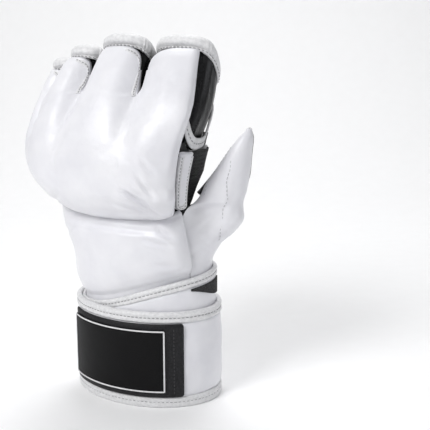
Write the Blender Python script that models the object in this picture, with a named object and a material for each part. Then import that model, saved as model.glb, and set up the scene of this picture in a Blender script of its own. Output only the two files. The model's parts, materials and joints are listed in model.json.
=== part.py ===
"""A left-hand padded grappling glove with an enclosed thumb, standing on its cuff.

Metres. +Z runs to the fingertips, -Y out of the back of the hand and +X to the thumb side.
Every piece is laid on one hand form, at a named offset outside it, so that the layers nest.
"""

import math
from collections import namedtuple

import bmesh
import bpy
from mathutils import Matrix, Vector

# Driving sizes of the hand form
GLOVE_HEIGHT = 0.270
HAND_HALF_WIDTH = 0.069
HAND_HALF_DEPTH = 0.030
LITTLE_SIDE_ARCH = 1.6
GAP = 0.0004

# Cross-sections of the hollow: height as a share of GLOVE_HEIGHT, shift_x and half_width of
# HAND_HALF_WIDTH, shift_y, back, palm and arch of HAND_HALF_DEPTH, squareness an exponent
Section = namedtuple("Section", "height shift_x shift_y half_width back palm squareness arch")
HAND_SECTIONS = (
    Section(0.00, 0.000, 0.00, 0.675, 1.02, 1.02, 2.0, 0.00),
    Section(0.28, 0.000, 0.00, 0.675, 1.02, 1.02, 2.0, 0.00),
    Section(0.37, 0.000, 0.00, 0.675, 1.02, 1.02, 2.0, 0.00),
    Section(0.50, -0.120, -0.03, 0.710, 0.94, 0.97, 2.3, 0.03),
    Section(0.61, -0.200, -0.02, 0.790, 0.88, 0.86, 2.9, 0.10),
    Section(0.72, -0.235, 0.06, 0.910, 0.82, 0.58, 4.0, 0.20),
    Section(0.80, -0.225, 0.20, 1.010, 0.76, 0.46, 5.0, 0.26),
    Section(0.90, -0.220, 0.44, 1.030, 0.74, 0.46, 5.0, 0.28),
    Section(1.00, -0.220, 0.70, 1.030, 0.72, 0.46, 5.0, 0.28),
)

# Leather, foam and cloth thicknesses, and the layers' offsets outside the hand form
LINING = 0.0016
PANEL = 0.0030
PANEL_INNER = LINING + 2 * GAP
PANEL_OUTER = PANEL_INNER + PANEL
WRAP = 0.0025
WRAP_INNER = PANEL_OUTER + GAP
WRAP_OUTER = WRAP_INNER + WRAP
STRAP = 0.0032
STRAP_INNER = WRAP_OUTER + GAP
STRAP_OUTER = STRAP_INNER + STRAP
TAPE_PROUD = 0.0010

# Wrist strap with its bound edges, the wrap under it, and the closure on it
STRAP_TOP = 0.0730
STRAP_TAPE = 0.0085
WRAP_LOW = 0.0060
WRAP_MEAN_TOP = 0.0860
WRAP_THUMB_RISE = 0.0130
WRAP_PALM_RISE = 0.0050
WRAP_TAPE = 0.0070
WRAP_TAPE_CLEAR = (-0.001, 0.004)
CUFF_LOW = 0.0040
TAB = 0.0014
TAB_ARC = (211, 329)
LABEL = 0.0008
LABEL_ARC = (213, 314)
LABEL_MARGIN = 0.0040
FRAME = 0.0005
FRAME_WIDTH = 0.0012
LOOP_PATCH_ARC = (338, 372)
LOOP_PATCH_DROP = 0.0120

# Seams between the panels, as angles round the hand: 0 thumb side, 90 palm, 270 back
THUMB_SEAM = 340
LITTLE_SEAM = 192
SEAM_GAP = 0.6

# Knuckle pad
PAD_THICKNESS = 0.0300
PAD_BOTTOM = 0.1390
PAD_THUMB_CORNER = 0.0090
PAD_LITTLE_CORNER = 0.0210
PAD_GROOVE = 0.0100
PAD_LOBE = 0.84
PAD_SLIT_FOOT = 0.2270
PAD_THUMB_EDGE = 0.81
PAD_LITTLE_EDGE = -0.955
# Shares and heights over which the pad rides onto the thumb panel, thins to the little finger
# and grows its grooves
PAD_RIDE_SHARES = (0.50, 0.66)
PAD_RIDE_HEIGHTS = (0.166, 0.156)
PAD_LITTLE_THIN = (0.165, 0.225)
PAD_GROOVE_RISE = (0.178, 0.222)
PAD_GROOVE_EDGE = 0.93
PAD_GROOVE_FADE = 0.10
PAD_SADDLE = 0.40
PAD_SADDLE_RISE = (0.5, 0.9)
PAD_LEAST = 0.15
# Height as a share of the pad's height, thickness as a share of PAD_THICKNESS
Profile = namedtuple("Profile", "height thickness")
PAD_PROFILE = (
    Profile(0.00, 0.20),
    Profile(0.03, 0.46),
    Profile(0.08, 0.68),
    Profile(0.17, 0.88),
    Profile(0.30, 0.99),
    Profile(0.44, 1.00),
    Profile(0.58, 0.92),
    Profile(0.72, 0.76),
    Profile(0.84, 0.58),
    Profile(0.94, 0.38),
    Profile(1.00, 0.20),
)

# Cuff pad over the wrist's back
CUFF_PAD = 0.0085
CUFF_PAD_CLEAR = 0.0025
# Height as a share of the stretch over the wrap, thickness as a share of CUFF_PAD
CUFF_PROFILE = (
    Profile(0.00, 0.00),
    Profile(0.08, 0.45),
    Profile(0.22, 0.85),
    Profile(0.45, 1.00),
    Profile(0.75, 0.90),
    Profile(0.92, 0.60),
    Profile(1.00, 0.25),
)

# Finger stalls: centre and half_width as shares of the section's half width, rims as shares
# of GLOVE_HEIGHT, open_side the side that a longer wall closes
Finger = namedtuple("Finger", "name centre half_width rim_back rim_palm open_side")
FINGERS = (
    Finger("index", 0.635, 0.325, 0.962, 0.845, 1),
    Finger("middle", 0.000, 0.280, 0.966, 0.840, 0),
    Finger("ring", -0.490, 0.190, 0.935, 0.835, 0),
    Finger("little", -0.840, 0.150, 0.898, 0.832, -1),
)
STALL_WALL = 0.0016
STALL_SQUARENESS = 2.6
STALL_FOOT = 0.1975
STALL_BACK_FOOT = 0.2120
STALL_SIDE_FOOT = 0.1870
RIM_HEIGHT = 0.0085
RIM_PALM = 0.0022
RIM_BACK = 0.0042
BAND_HEIGHT = 0.0085
BAND = 0.0016
BAND_PALM_LOW = 0.2120
BAND_OVER_FOOT = 0.0006

# Palm side: hem of the finger panel, grip strip under it, lining, web at the thumb
HEM_LOW = 0.1975
HEM_HEIGHT = 0.0090
HEM = 0.0030
GRIP_LOW = 0.1800
GRIP_BINDING_HEIGHT = 0.0085
GRIP_BINDING = 0.0034
GRIP_STRIP = 0.0014
LINING_LOW = 0.0960
LINING_TOP = 0.1955
LINING_EDGES = (0.83, -0.93)
WEB_ARC = (339.5, 372)
WEB_RISE_FROM = 344
WEB = 0.0012
WEB_TOP = 0.1840
WEB_BACK_LOW = 0.1480
WEB_PALM_LOW = 0.1700
WEB_TAPE_ARC = (337, 345.5)
WEB_TAPE_LOW = 0.1500
WEB_TAPE = 0.0030

# Palm flap: height as a share of FLAP_TOP, free and little_side angles of its two edges
FLAP_TOP = 0.2110
Outline = namedtuple("Outline", "height free little_side")
FLAP_OUTLINE = (
    Outline(0.02, 50.0, 191.4),
    Outline(0.40, 50.0, 191.4),
    Outline(0.47, 54.0, 191.4),
    Outline(0.53, 70.0, 191.4),
    Outline(0.60, 86.0, 191.4),
    Outline(0.70, 91.0, 191.4),
    Outline(0.80, 94.0, 188.0),
    Outline(0.87, 99.0, 178.0),
    Outline(0.93, 116.0, 171.0),
    Outline(0.975, 131.0, 166.0),
    Outline(1.00, 143.0, 161.0),
)
FLAP_LIFT = 0.0046
FLAP_LIFT_FROM = 0.1660
FLAP_LIFT_TO = 0.1850
EDGE_TAPE = 0.0062
EDGE_TAPE_FOOT = 0.1010
HEEL_PAD = 0.0095
HEEL_PAD_LOW = 0.1160
HEEL_PAD_ARC = (116, 180)
HEEL_SEAM = 0.1830
HEEL_SEAM_HALF = 0.0060

# Thumb: height as a share of THUMB_RISE over THUMB_FOOT, centre of THUMB_REACH, half_width of
# THUMB_HALF_WIDTH, half_depth of THUMB_HALF_DEPTH
THUMB_FOOT = 0.1000
THUMB_RISE = 0.1030
THUMB_REACH = 0.0800
THUMB_HALF_WIDTH = 0.0215
THUMB_HALF_DEPTH = 0.0165
THUMB_TO_PALM = 0.0060
THUMB_WALL = 0.0030
THUMB_CROTCH = 0.1520
Stall = namedtuple("Stall", "height centre half_width half_depth")
THUMB_SECTIONS = (
    Stall(0.00, 0.68, 1.04, 1.00),
    Stall(0.32, 0.68, 1.04, 1.00),
    Stall(0.48, 0.69, 0.95, 0.97),
    Stall(0.56, 0.75, 0.83, 0.90),
    Stall(0.69, 0.835, 0.63, 0.80),
    Stall(0.84, 0.91, 0.40, 0.62),
    Stall(0.94, 0.965, 0.24, 0.42),
    Stall(1.00, 0.99, 0.09, 0.16),
)
# Edges of the thumb's white panel: angle round the hand up to the crotch, then turn round the thumb
THUMB_PALM_EDGE = 405
THUMB_WEB_EDGE = 347
THUMB_BACK_TURN = 210
THUMB_WEB_TURN = 240
THUMB_PALM_TURN = 460
THUMB_SIDE_TURN = 373
THUMB_SIDE_HEIGHT = 0.1710
SEAM_TURN = 3


def clear_scene():
    for obj in list(bpy.data.objects):
        bpy.data.objects.remove(obj)


def smooth(value, low, high):
    """0 below low, 1 above high and a smooth rise between them."""
    share = min(max((value - low) / (high - low), 0.0), 1.0)
    return share * share * (3 - 2 * share)


def steps(low, high, count):
    """count + 1 evenly spaced values from low to high."""
    return [low + (high - low) * k / count for k in range(count + 1)]


def sample(table, height):
    """A row of the table at a height between its rows, along a smooth curve through them."""
    kind = type(table[0])
    height = min(max(height, table[0].height), table[-1].height)
    at = max(k for k in range(len(table) - 1) if table[k].height <= height or k == 0)
    low, high = table[at], table[at + 1]
    before, after = table[max(at - 1, 0)], table[min(at + 2, len(table) - 1)]
    span = high.height - low.height
    t = (height - low.height) / span
    values = []
    for k in range(1, len(kind._fields)):
        turning_in = (low[k] - before[k]) * (high[k] - low[k]) <= 0
        turning_out = (high[k] - low[k]) * (after[k] - high[k]) <= 0
        slope_in = 0 if turning_in else (high[k] - before[k]) / (high.height - before.height) * span
        slope_out = 0 if turning_out else (after[k] - low[k]) / (after.height - low.height) * span
        values.append(
            low[k] * (2 * t**3 - 3 * t**2 + 1)
            + slope_in * (t**3 - 2 * t**2 + t)
            + high[k] * (3 * t**2 - 2 * t**3)
            + slope_out * (t**3 - t**2)
        )
    return kind(height, *values)


def hand_section(z):
    """The hollow's cross-section at z, in metres."""
    row = sample(HAND_SECTIONS, z / GLOVE_HEIGHT)
    width, depth = HAND_HALF_WIDTH, HAND_HALF_DEPTH
    return Section(z, row.shift_x * width, row.shift_y * depth, row.half_width * width,
                   row.back * depth, row.palm * depth, row.squareness, row.arch * depth)


def arch_of(section, share):
    """How far the knuckle arch moves a point towards the palm, at a share of the half width."""
    return section.arch * share * share * (LITTLE_SIDE_ARCH if share < 0 else 1.0)


def hand_point(angle, z, offset):
    """A point outside the hand form, by its angle in degrees round the section's centre."""
    section = hand_section(z)
    across, deep = math.cos(math.radians(angle)), math.sin(math.radians(angle))
    width = section.half_width + offset
    depth = (section.palm if deep > 0 else section.back) + offset
    power = section.squareness
    reach = (abs(across / width) ** power + abs(deep / depth) ** power) ** (-1 / power)
    y = section.shift_y + reach * deep + arch_of(section, reach * across / width)
    return Vector((section.shift_x + reach * across, y, z))


def face_point(share, z, offset, side):
    """A point outside the form's back (side -1) or palm (side 1), by its share of the half width."""
    section = hand_section(z)
    width = section.half_width + offset
    depth = (section.palm if side > 0 else section.back) + offset
    fall = max(1 - abs(share) ** section.squareness, 0.0) ** (1 / section.squareness)
    y = section.shift_y + arch_of(section, share) + side * depth * fall
    return Vector((section.shift_x + share * width, y, z))


def material(name, colour, roughness):
    made = bpy.data.materials.get(name)
    if made is None:
        made = bpy.data.materials.new(name)
        made.use_nodes = True
        shader = made.node_tree.nodes["Principled BSDF"]
        shader.inputs["Base Color"].default_value = (*colour, 1.0)
        shader.inputs["Roughness"].default_value = roughness
        shader.inputs["Metallic"].default_value = 0.0
    return made


def white_leather():
    return material("white_leather", (0.80, 0.80, 0.82), 0.38)


def white_binding():
    return material("white_binding", (0.74, 0.74, 0.75), 0.5)


def black_leather():
    return material("black_leather", (0.012, 0.012, 0.013), 0.3)


def black_cloth():
    return material("black_cloth", (0.010, 0.010, 0.011), 0.85)


def add_object(name, mesh_data, finish, collection):
    """Closes a bmesh into a named object of the glove's collection."""
    bmesh.ops.recalc_face_normals(mesh_data, faces=mesh_data.faces)
    data = bpy.data.meshes.new(name)
    mesh_data.to_mesh(data)
    mesh_data.free()
    data.shade_smooth()
    data.set_sharp_from_angle(angle=math.radians(40))
    data.materials.append(finish)
    made = bpy.data.objects.new(name, data)
    collection.objects.link(made)
    return made


def wall(name, outer, inner, closed, finish, collection):
    """A wall lofted between two unlike faces, each a run of columns with as many points."""
    mesh_data = bmesh.new()
    faces = [[[mesh_data.verts.new(p) for p in column] for column in grid] for grid in (outer, inner)]
    rims = [far + near[::-1] for far, near in zip(*faces)]
    neighbours = list(zip(rims, rims[1:]))
    if closed:
        neighbours.append((rims[-1], rims[0]))
    for one, other in neighbours:
        for k in range(len(one)):
            mesh_data.faces.new((one[k - 1], one[k], other[k], other[k - 1]))
    if not closed:
        for end in (rims[0], rims[-1]):
            for k in range(len(end) // 2 - 1):
                mesh_data.faces.new((end[k], end[k + 1], end[-k - 2], end[-k - 1]))
    return add_object(name, mesh_data, finish, collection)


def hand_wall(name, angles, heights, inner, outer, closed, finish, collection):
    """A wall over the hand form. heights, inner and outer are functions of angle, or of angle and z."""
    columns = [(angle, heights(angle)) for angle in angles]
    grids = [
        [[hand_point(angle, z, offset(angle, z)) for z in rows] for angle, rows in columns]
        for offset in (outer, inner)
    ]
    return wall(name, *grids, closed, finish, collection)


def even(value):
    """An offset that is the same everywhere."""
    return lambda angle, z: value


# The rounded section of a folded tape: across its width, and out of the surface
TAPE_SECTION = ((0.0, 0.72), (0.22, 1.0), (0.78, 1.0), (1.0, 0.72))
TAPE_FOOT = ((0.0, 0.28), (0.22, 0.0), (0.78, 0.0), (1.0, 0.28))


def tape(name, frames, closed, finish, collection):
    """A folded binding tape along frames of origin, across vector and out vector."""
    grids = [
        [[origin + across * a + out * o for a, o in side] for origin, across, out in frames]
        for side in (TAPE_SECTION, TAPE_FOOT)
    ]
    return wall(name, *grids, closed, finish, collection)


def ring_tape(name, angles, low, height, inner, outer, closed, finish, collection):
    """A tape that lies round the hand form, its lower edge at low(angle), its face at outer(angle)."""
    frames = []
    for angle in angles:
        z = low(angle)
        foot = hand_point(angle, z, inner)
        frames.append((foot, Vector((0, 0, height)), hand_point(angle, z, outer(angle)) - foot))
    return tape(name, frames, closed, finish, collection)


def edge_tape(name, edge, side, finish, collection):
    """A tape along a panel's bound edge, given as pairs of outer and inner points, out to one side."""
    frames = []
    for k, (outer, inner) in enumerate(edge):
        along = edge[min(k + 1, len(edge) - 1)][1] - edge[max(k - 1, 0)][1]
        out = outer - inner
        across = side * along.cross(out).normalized()
        frames.append((inner + across * GAP, across * EDGE_TAPE, out + out.normalized() * TAPE_PROUD))
    return tape(name, frames, False, finish, collection)


FULL_TURN = steps(0, 360, 40)[:-1]


def wrap_top(angle):
    """The wrap's upper edge, higher at the thumb side and towards the palm."""
    turn = math.radians(angle)
    return WRAP_MEAN_TOP + WRAP_THUMB_RISE * math.cos(turn) + WRAP_PALM_RISE * math.sin(turn)


def wrist_strap(collection):
    """Outer turn of the strap with its two bound edges, the lower one flat where the glove stands."""
    low, high = STRAP_TAPE + GAP, STRAP_TOP - STRAP_TAPE - GAP
    hand_wall("wrist_strap", FULL_TURN, lambda a: [low, high],
              even(STRAP_INNER), even(STRAP_OUTER), True, white_leather(), collection)
    outside = STRAP_OUTER + TAPE_PROUD
    ring_tape("strap_top_binding", FULL_TURN, lambda a: STRAP_TOP - STRAP_TAPE, STRAP_TAPE,
              STRAP_INNER, lambda a: outside, True, white_binding(), collection)
    heights = steps(0, STRAP_TAPE, 3)
    swell = {heights[0]: 0.72, heights[1]: 1.0, heights[2]: 1.0, heights[3]: 0.72}
    hand_wall("strap_bottom_binding", FULL_TURN, lambda a: heights, even(STRAP_INNER),
              lambda a, z: STRAP_INNER + (outside - STRAP_INNER) * swell[z],
              True, white_binding(), collection)


def wrist_wrap(collection):
    """Inner turn of the strap, its slanting bound edge, and the loop patch at the thumb side."""
    def top(angle):
        return wrap_top(angle) - WRAP_TAPE - GAP

    def proud(angle):
        clear = smooth(top(angle) - STRAP_TOP, *WRAP_TAPE_CLEAR)
        return WRAP_OUTER + TAPE_PROUD * clear

    hand_wall("wrist_wrap", FULL_TURN, lambda a: [WRAP_LOW, top(a)],
              even(WRAP_INNER), even(WRAP_OUTER), True, white_leather(), collection)
    ring_tape("wrap_binding", FULL_TURN, lambda a: top(a) + GAP, WRAP_TAPE,
              WRAP_INNER, proud, True, white_binding(), collection)
    arc = steps(*LOOP_PATCH_ARC, 5)
    hand_wall("loop_patch", arc,
              lambda a: [top(a) - GAP - LOOP_PATCH_DROP * smooth(a, arc[0] - 8, arc[-1]), top(a) - GAP],
              even(WRAP_OUTER + GAP), even(WRAP_OUTER + GAP + LABEL), False,
              black_cloth(), collection)


def closure(collection):
    """Hook tab sewn on the strap's end, the bare label on it and the label's raised frame."""
    low, high = STRAP_TAPE + GAP, STRAP_TOP - STRAP_TAPE - GAP
    tab_inner = STRAP_OUTER + GAP
    tab_outer = tab_inner + TAB
    hand_wall("closure_tab", steps(*TAB_ARC, 11), lambda a: [low, high],
              even(tab_inner), even(tab_outer), False, black_leather(), collection)
    label_low, label_high = low + LABEL_MARGIN, high - LABEL_MARGIN
    label_inner = tab_outer + GAP
    label_outer = label_inner + LABEL
    arc = steps(*LABEL_ARC, 9)
    hand_wall("label_panel", arc, lambda a: [label_low, label_high],
              even(label_inner), even(label_outer), False, black_leather(), collection)
    frame_inner = label_outer + GAP
    edge = [(a, label_low) for a in arc] + [(a, label_high) for a in arc[::-1]]
    middle = (sum(LABEL_ARC) / 2, (label_low + label_high) / 2)
    frames = []
    for angle, z in edge:
        end = angle in (arc[0], arc[-1])
        turn = math.degrees(FRAME_WIDTH / HAND_HALF_DEPTH) * math.copysign(0.7, middle[0] - angle)
        rise = math.copysign(FRAME_WIDTH, middle[1] - z)
        foot = hand_point(angle, z, frame_inner)
        within = hand_point(angle + turn * end, z + rise, frame_inner)
        frames.append((foot, within - foot, hand_point(angle, z, frame_inner + FRAME) - foot))
    tape("label_frame", frames, True, white_binding(), collection)


def pad_low(share):
    """Lower edge of the knuckle pad, rounded up at its two corners."""
    corner = PAD_LITTLE_CORNER if share < 0 else PAD_THUMB_CORNER
    return PAD_BOTTOM + corner * abs(share) ** 4


def cuff_pad(collection):
    """Padded panel over the back of the wrist, flat under the strap and swollen above it."""
    def ends(angle):
        section = hand_section(PAD_BOTTOM)
        share = (hand_point(angle, PAD_BOTTOM, 0).x - section.shift_x) / section.half_width
        return wrap_top(angle) + CUFF_PAD_CLEAR, pad_low(share) - GAP

    def rows(angle):
        low, high = ends(angle)
        return [CUFF_LOW] + [low + (high - low) * row.height for row in CUFF_PROFILE]

    def swell(angle, z):
        low, high = ends(angle)
        share = (z - low) / (high - low)
        if share <= 0:
            return PANEL_OUTER
        edge = smooth(angle, LITTLE_SEAM - 28, LITTLE_SEAM + 26) * smooth(THUMB_SEAM - angle, -14, 16)
        return PANEL_OUTER + CUFF_PAD * sample(CUFF_PROFILE, share).thickness * edge

    angles = steps(LITTLE_SEAM + SEAM_GAP, THUMB_SEAM - SEAM_GAP, 14)
    hand_wall("cuff_pad", angles, rows, even(PANEL_INNER), swell, False, white_leather(), collection)


def rim_height(finger, facing):
    """Height of a stall's slanted rim: facing is -1 at the back of the finger and 1 at its palm side."""
    back, palm = finger.rim_back * GLOVE_HEIGHT, finger.rim_palm * GLOVE_HEIGHT
    return (back + palm) / 2 + (palm - back) / 2 * facing


def pad_columns():
    """Shares across the back where the knuckle pad has a column, with each column's finger and place."""
    lobe = (PAD_LOBE, 0.62, 0.3, 0.0, -0.3, -0.62, -PAD_LOBE)
    columns = []
    for number, finger in enumerate(FINGERS):
        for local in lobe:
            share = finger.centre + local * finger.half_width
            if PAD_LITTLE_EDGE < share < PAD_THUMB_EDGE:
                columns.append((share, finger, local))
        if number + 1 < len(FINGERS):
            after = FINGERS[number + 1]
            between = (finger.centre - finger.half_width + after.centre + after.half_width) / 2
            columns.append((between, None, 1.0))
    for edge, finger in ((PAD_THUMB_EDGE, FINGERS[0]), (PAD_LITTLE_EDGE, FINGERS[-1])):
        columns.append((edge, finger, (edge - finger.centre) / finger.half_width))
    return sorted(columns, key=lambda column: -column[0])


def pad_inner(share, z):
    """Offset of the knuckle pad's inner face, which rides over the thumb panel's hidden edge."""
    high, low = PAD_RIDE_HEIGHTS
    return PANEL_INNER + (PANEL + GAP) * smooth(share, *PAD_RIDE_SHARES) * smooth(-z, -high, -low)


def pad_thickness(share, finger, local, z, height):
    """Thickness of the knuckle pad: thinner to its sides, grooved between the lobes."""
    thickness = PAD_THICKNESS * sample(PAD_PROFILE, height).thickness
    if share < 0:
        thickness *= 1 - (0.40 + 0.48 * smooth(z, *PAD_LITTLE_THIN)) * abs(share) ** 3
    else:
        thickness *= 1 - 0.62 * share**4
    if finger is None:
        thickness = max(thickness, PAD_THICKNESS * PAD_SADDLE * smooth(height, *PAD_SADDLE_RISE))
    valley = 0.5 - 0.5 * math.cos(math.pi * min(abs(local), 1.0) ** 2)
    inward = smooth(PAD_GROOVE_EDGE - abs(share), 0.0, PAD_GROOVE_FADE)
    thickness -= PAD_GROOVE * valley * smooth(z, *PAD_GROOVE_RISE) * inward
    return max(thickness, PAD_THICKNESS * PAD_LEAST)


def knuckle_pad(collection):
    """Thick pad over the back of the hand, with four lobes parted by slits."""
    outer, inner = [], []
    for share, finger, local in pad_columns():
        low, high = pad_low(share), PAD_SLIT_FOOT
        if finger:
            facing = -max(1 - abs(local) ** STALL_SQUARENESS, 0.0) ** (1 / STALL_SQUARENESS)
            high = rim_height(finger, facing) - GAP
        near, far = [], []
        for row in PAD_PROFILE:
            z = low + (high - low) * row.height
            offset = pad_inner(share, z)
            near.append(face_point(share, z, offset, -1))
            thickness = pad_thickness(share, finger, local, z, row.height)
            far.append(face_point(share, z, offset + thickness, -1))
        outer.append(far)
        inner.append(near)
    wall("knuckle_pad", outer, inner, False, white_leather(), collection)


def stall_place(finger, z):
    """Centre, half width and half depth of a finger stall that fills the form at z."""
    section = hand_section(z)
    half_width = finger.half_width * section.half_width
    middle = (face_point(finger.centre, z, 0, 1).y + face_point(finger.centre, z, PANEL_INNER, -1).y) / 2
    room = []
    for local in (-0.9, -0.75, -0.5, 0.0, 0.5, 0.75, 0.9):
        share = finger.centre + local * finger.half_width
        bulge = (1 - abs(local) ** STALL_SQUARENESS) ** (1 / STALL_SQUARENESS)
        room.append((face_point(share, z, 0, 1).y - middle) / bulge)
        room.append((middle - face_point(share, z, PANEL_INNER, -1).y) / bulge)
    x = section.shift_x + finger.centre * section.half_width
    return Vector((x, middle, z)), half_width, min(room) - 2 * GAP


def stall_point(finger, turn, z, offset):
    """A point outside a stall's wall: turn is 0 at the thumb side, 90 at the palm side."""
    centre, half_width, half_depth = stall_place(finger, z)
    across, deep = math.cos(math.radians(turn)), math.sin(math.radians(turn))
    power = 2 / STALL_SQUARENESS
    x = (half_width + offset) * math.copysign(abs(across) ** power, across)
    y = (half_depth + offset) * math.copysign(abs(deep) ** power, deep)
    return centre + Vector((x, y, 0))


STALL_TURNS = steps(0, 360, 18)[:-1]


def stall_foot(finger, turn):
    """Lower edge of a stall's wall: higher behind the pad, lower at an open side."""
    across, deep = math.cos(math.radians(turn)), math.sin(math.radians(turn))
    foot = STALL_FOOT + (STALL_BACK_FOOT - STALL_FOOT) * max(-deep, 0.0)
    side = max(across * finger.open_side, 0.0) ** 2
    return foot + (STALL_SIDE_FOOT - foot) * side


def facing_of(turn):
    deep = math.sin(math.radians(turn))
    return math.copysign(abs(deep) ** (2 / STALL_SQUARENESS), deep)


def finger_stall(finger, collection):
    """A black leather stall for one finger and the white tape round its slanted rim."""
    grids = [[], []]
    frames = []
    for turn in STALL_TURNS:
        top = rim_height(finger, facing_of(turn))
        for grid, offset in zip(grids, (0.0, -STALL_WALL)):
            rows = steps(stall_foot(finger, turn), top, 3)
            grid.append([stall_point(finger, turn, z, offset) for z in rows])
        deep = math.sin(math.radians(turn))
        proud = RIM_PALM * max(deep, 0.0) ** 2 + RIM_BACK * max(-deep, 0.0) ** 2
        foot = stall_point(finger, turn, top + GAP, -STALL_WALL)
        out = stall_point(finger, turn, top + GAP, proud) - foot
        lean = stall_point(finger, turn, top + RIM_HEIGHT, 0) - stall_point(finger, turn, top, 0)
        frames.append((foot, lean, out))
    wall(f"finger_stall_{finger.name}", *grids, True, black_leather(), collection)
    tape(f"rim_binding_{finger.name}", frames, True, white_binding(), collection)


def side_band(finger, collection):
    """White tape along an outer stall's lower edge, stepping up where it reaches the palm."""
    turns = steps(-56, 128, 12) if finger.open_side > 0 else steps(212, 52, 12)
    frames = []
    for turn in turns:
        deep = math.sin(math.radians(turn))
        low = stall_foot(finger, turn) + BAND_OVER_FOOT
        low += (BAND_PALM_LOW - low) * smooth(deep, 0.35, 0.85)
        foot = stall_point(finger, turn, low, 2 * GAP)
        lean = stall_point(finger, turn, low + BAND_HEIGHT, 2 * GAP) - foot
        frames.append((foot, lean, stall_point(finger, turn, low, 2 * GAP + BAND) - foot))
    tape(f"side_band_{finger.name}", frames, False, white_binding(), collection)


def palm_tape(name, shares, low, height, inner, outer, finish, collection):
    """A tape across the palm side of the fingers."""
    frames = []
    for share in shares:
        foot = face_point(share, low, inner, 1)
        lean = face_point(share, low + height, inner, 1) - foot
        frames.append((foot, lean, face_point(share, low, outer, 1) - foot))
    return tape(name, frames, False, finish, collection)


def palm_bars(collection):
    """Hem of the finger stalls, and the bound grip strip that runs under it."""
    shares = steps(0.88, -0.74, 13)
    palm_tape("finger_hem", steps(0.66, -0.74, 12), HEM_LOW, HEM_HEIGHT, 0.0, HEM,
              white_binding(), collection)
    binding_top = GRIP_LOW + GRIP_BINDING_HEIGHT
    palm_tape("grip_binding", shares, GRIP_LOW, GRIP_BINDING_HEIGHT, 0.0, GRIP_BINDING,
              white_binding(), collection)
    strip = HEM_LOW - binding_top - 2 * GAP
    palm_tape("grip_strip", shares, binding_top + GAP, strip, 0.0, GRIP_STRIP,
              black_cloth(), collection)


def back_lining(collection):
    """Black cloth over the back of the hand, seen through the open palm."""
    rows = steps(LINING_LOW, LINING_TOP, 8)
    shares = steps(*LINING_EDGES, 13)
    grids = [[[face_point(s, z, offset, -1) for z in rows] for s in shares] for offset in (LINING, 0.0)]
    wall("back_lining", *grids, False, black_cloth(), collection)


def thumb_web(collection):
    """Black mesh gusset between the index knuckle and the thumb, with the bound strip at its edge."""
    def rows(angle):
        low = WEB_BACK_LOW + (WEB_PALM_LOW - WEB_BACK_LOW) * smooth(angle, WEB_RISE_FROM, WEB_ARC[1])
        return steps(low, WEB_TOP, 3)

    hand_wall("web_gusset", steps(*WEB_ARC, 5), rows, even(0.0), even(WEB), False,
              black_cloth(), collection)
    hand_wall("web_binding", steps(*WEB_TAPE_ARC, 2), lambda a: steps(WEB_TAPE_LOW, WEB_TOP, 3),
              even(LINING + GAP), even(LINING + GAP + WEB_TAPE), False, white_binding(), collection)


def flap_edge(z, side):
    """Angle of the palm flap's free edge (side 0) or little-finger edge (side 1) at z."""
    return sample(FLAP_OUTLINE, z / FLAP_TOP)[1 + side]


def flap_lift(z):
    """How far the flap's inner face stands off the form, to clear the stalls' bands."""
    return PANEL_INNER + FLAP_LIFT * smooth(z, FLAP_LIFT_FROM, FLAP_LIFT_TO)


def heel_swell(angle, z):
    """Extra thickness of the padded heel in the palm flap, parted by one sewn line."""
    low, high = HEEL_PAD_ARC
    across = (angle - (low + high) / 2) / (high - low) * 2
    upward = (z - (HEEL_PAD_LOW + FLAP_TOP) / 2) / (FLAP_TOP - HEEL_PAD_LOW) * 2
    swell = max(1 - abs(across) ** 4, 0.0) * max(1 - abs(upward) ** 6, 0.0)
    seam = math.exp(-((z - HEEL_SEAM) / HEEL_SEAM_HALF) ** 2)
    return HEEL_PAD * swell * (1 - 0.6 * seam)


def palm_flap(collection):
    """White leather from the little-finger side over the heel of the palm, with its bound free edge."""
    rows = [CUFF_LOW] + [share * FLAP_TOP for share in (0.40, 0.45, 0.49, 0.53, 0.565, 0.60, 0.65, 0.70,
                                                        0.75, 0.80, 0.845, 0.87, 0.90, 0.93, 0.96,
                                                        0.98, 1.0)]
    grids = [[], []]
    for across in steps(0, 1, 14):
        for grid, outward in zip(grids, (1, 0)):
            column = []
            for z in rows:
                free, little = flap_edge(z, 0), flap_edge(z, 1)
                angle = free + (little - free) * across
                offset = flap_lift(z) + outward * (PANEL + heel_swell(angle, z))
                column.append(hand_point(angle, z, offset))
            grid.append(column)
    pairs = [list(zip(far, near)) for far, near in zip(*grids)]
    edge = [pair for pair in pairs[0] if pair[1].z > EDGE_TAPE_FOOT]
    edge += [column[-1] for column in pairs[2::2]] + pairs[-1][-2:-5:-1]
    wall("palm_flap", *grids, False, white_leather(), collection)
    edge_tape("flap_binding", edge, -1, white_binding(), collection)


def thumb_section(z):
    row = sample(THUMB_SECTIONS, (z - THUMB_FOOT) / THUMB_RISE)
    centre = Vector((row.centre * THUMB_REACH, THUMB_TO_PALM * (0.8 + row.height), z))
    return centre, row.half_width * THUMB_HALF_WIDTH, row.half_depth * THUMB_HALF_DEPTH


def thumb_point(turn, z, inside):
    """A point of the thumb stall's wall: inside is 0 on its outer face and 1 on its inner one."""
    centre, half_width, half_depth = thumb_section(z)
    thinner = 1 - inside * min(THUMB_WALL / half_width, 0.6)
    across, deep = math.cos(math.radians(turn)), math.sin(math.radians(turn))
    return centre + Vector((across * half_width * thinner, deep * half_depth * thinner, 0))


def thumb_back_turn(z):
    """Turn round the thumb of the white panel's edge next to the hand."""
    clear = smooth(z, THUMB_CROTCH, THUMB_SIDE_HEIGHT)
    return THUMB_WEB_TURN + (THUMB_BACK_TURN - THUMB_WEB_TURN) * clear


def thumb_palm_turn(z):
    """Turn round the thumb of the white panel's palm edge, which climbs to the thumb's side."""
    side = smooth(z, THUMB_CROTCH, THUMB_SIDE_HEIGHT)
    return THUMB_PALM_TURN + (THUMB_SIDE_TURN - THUMB_PALM_TURN) * side


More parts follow.
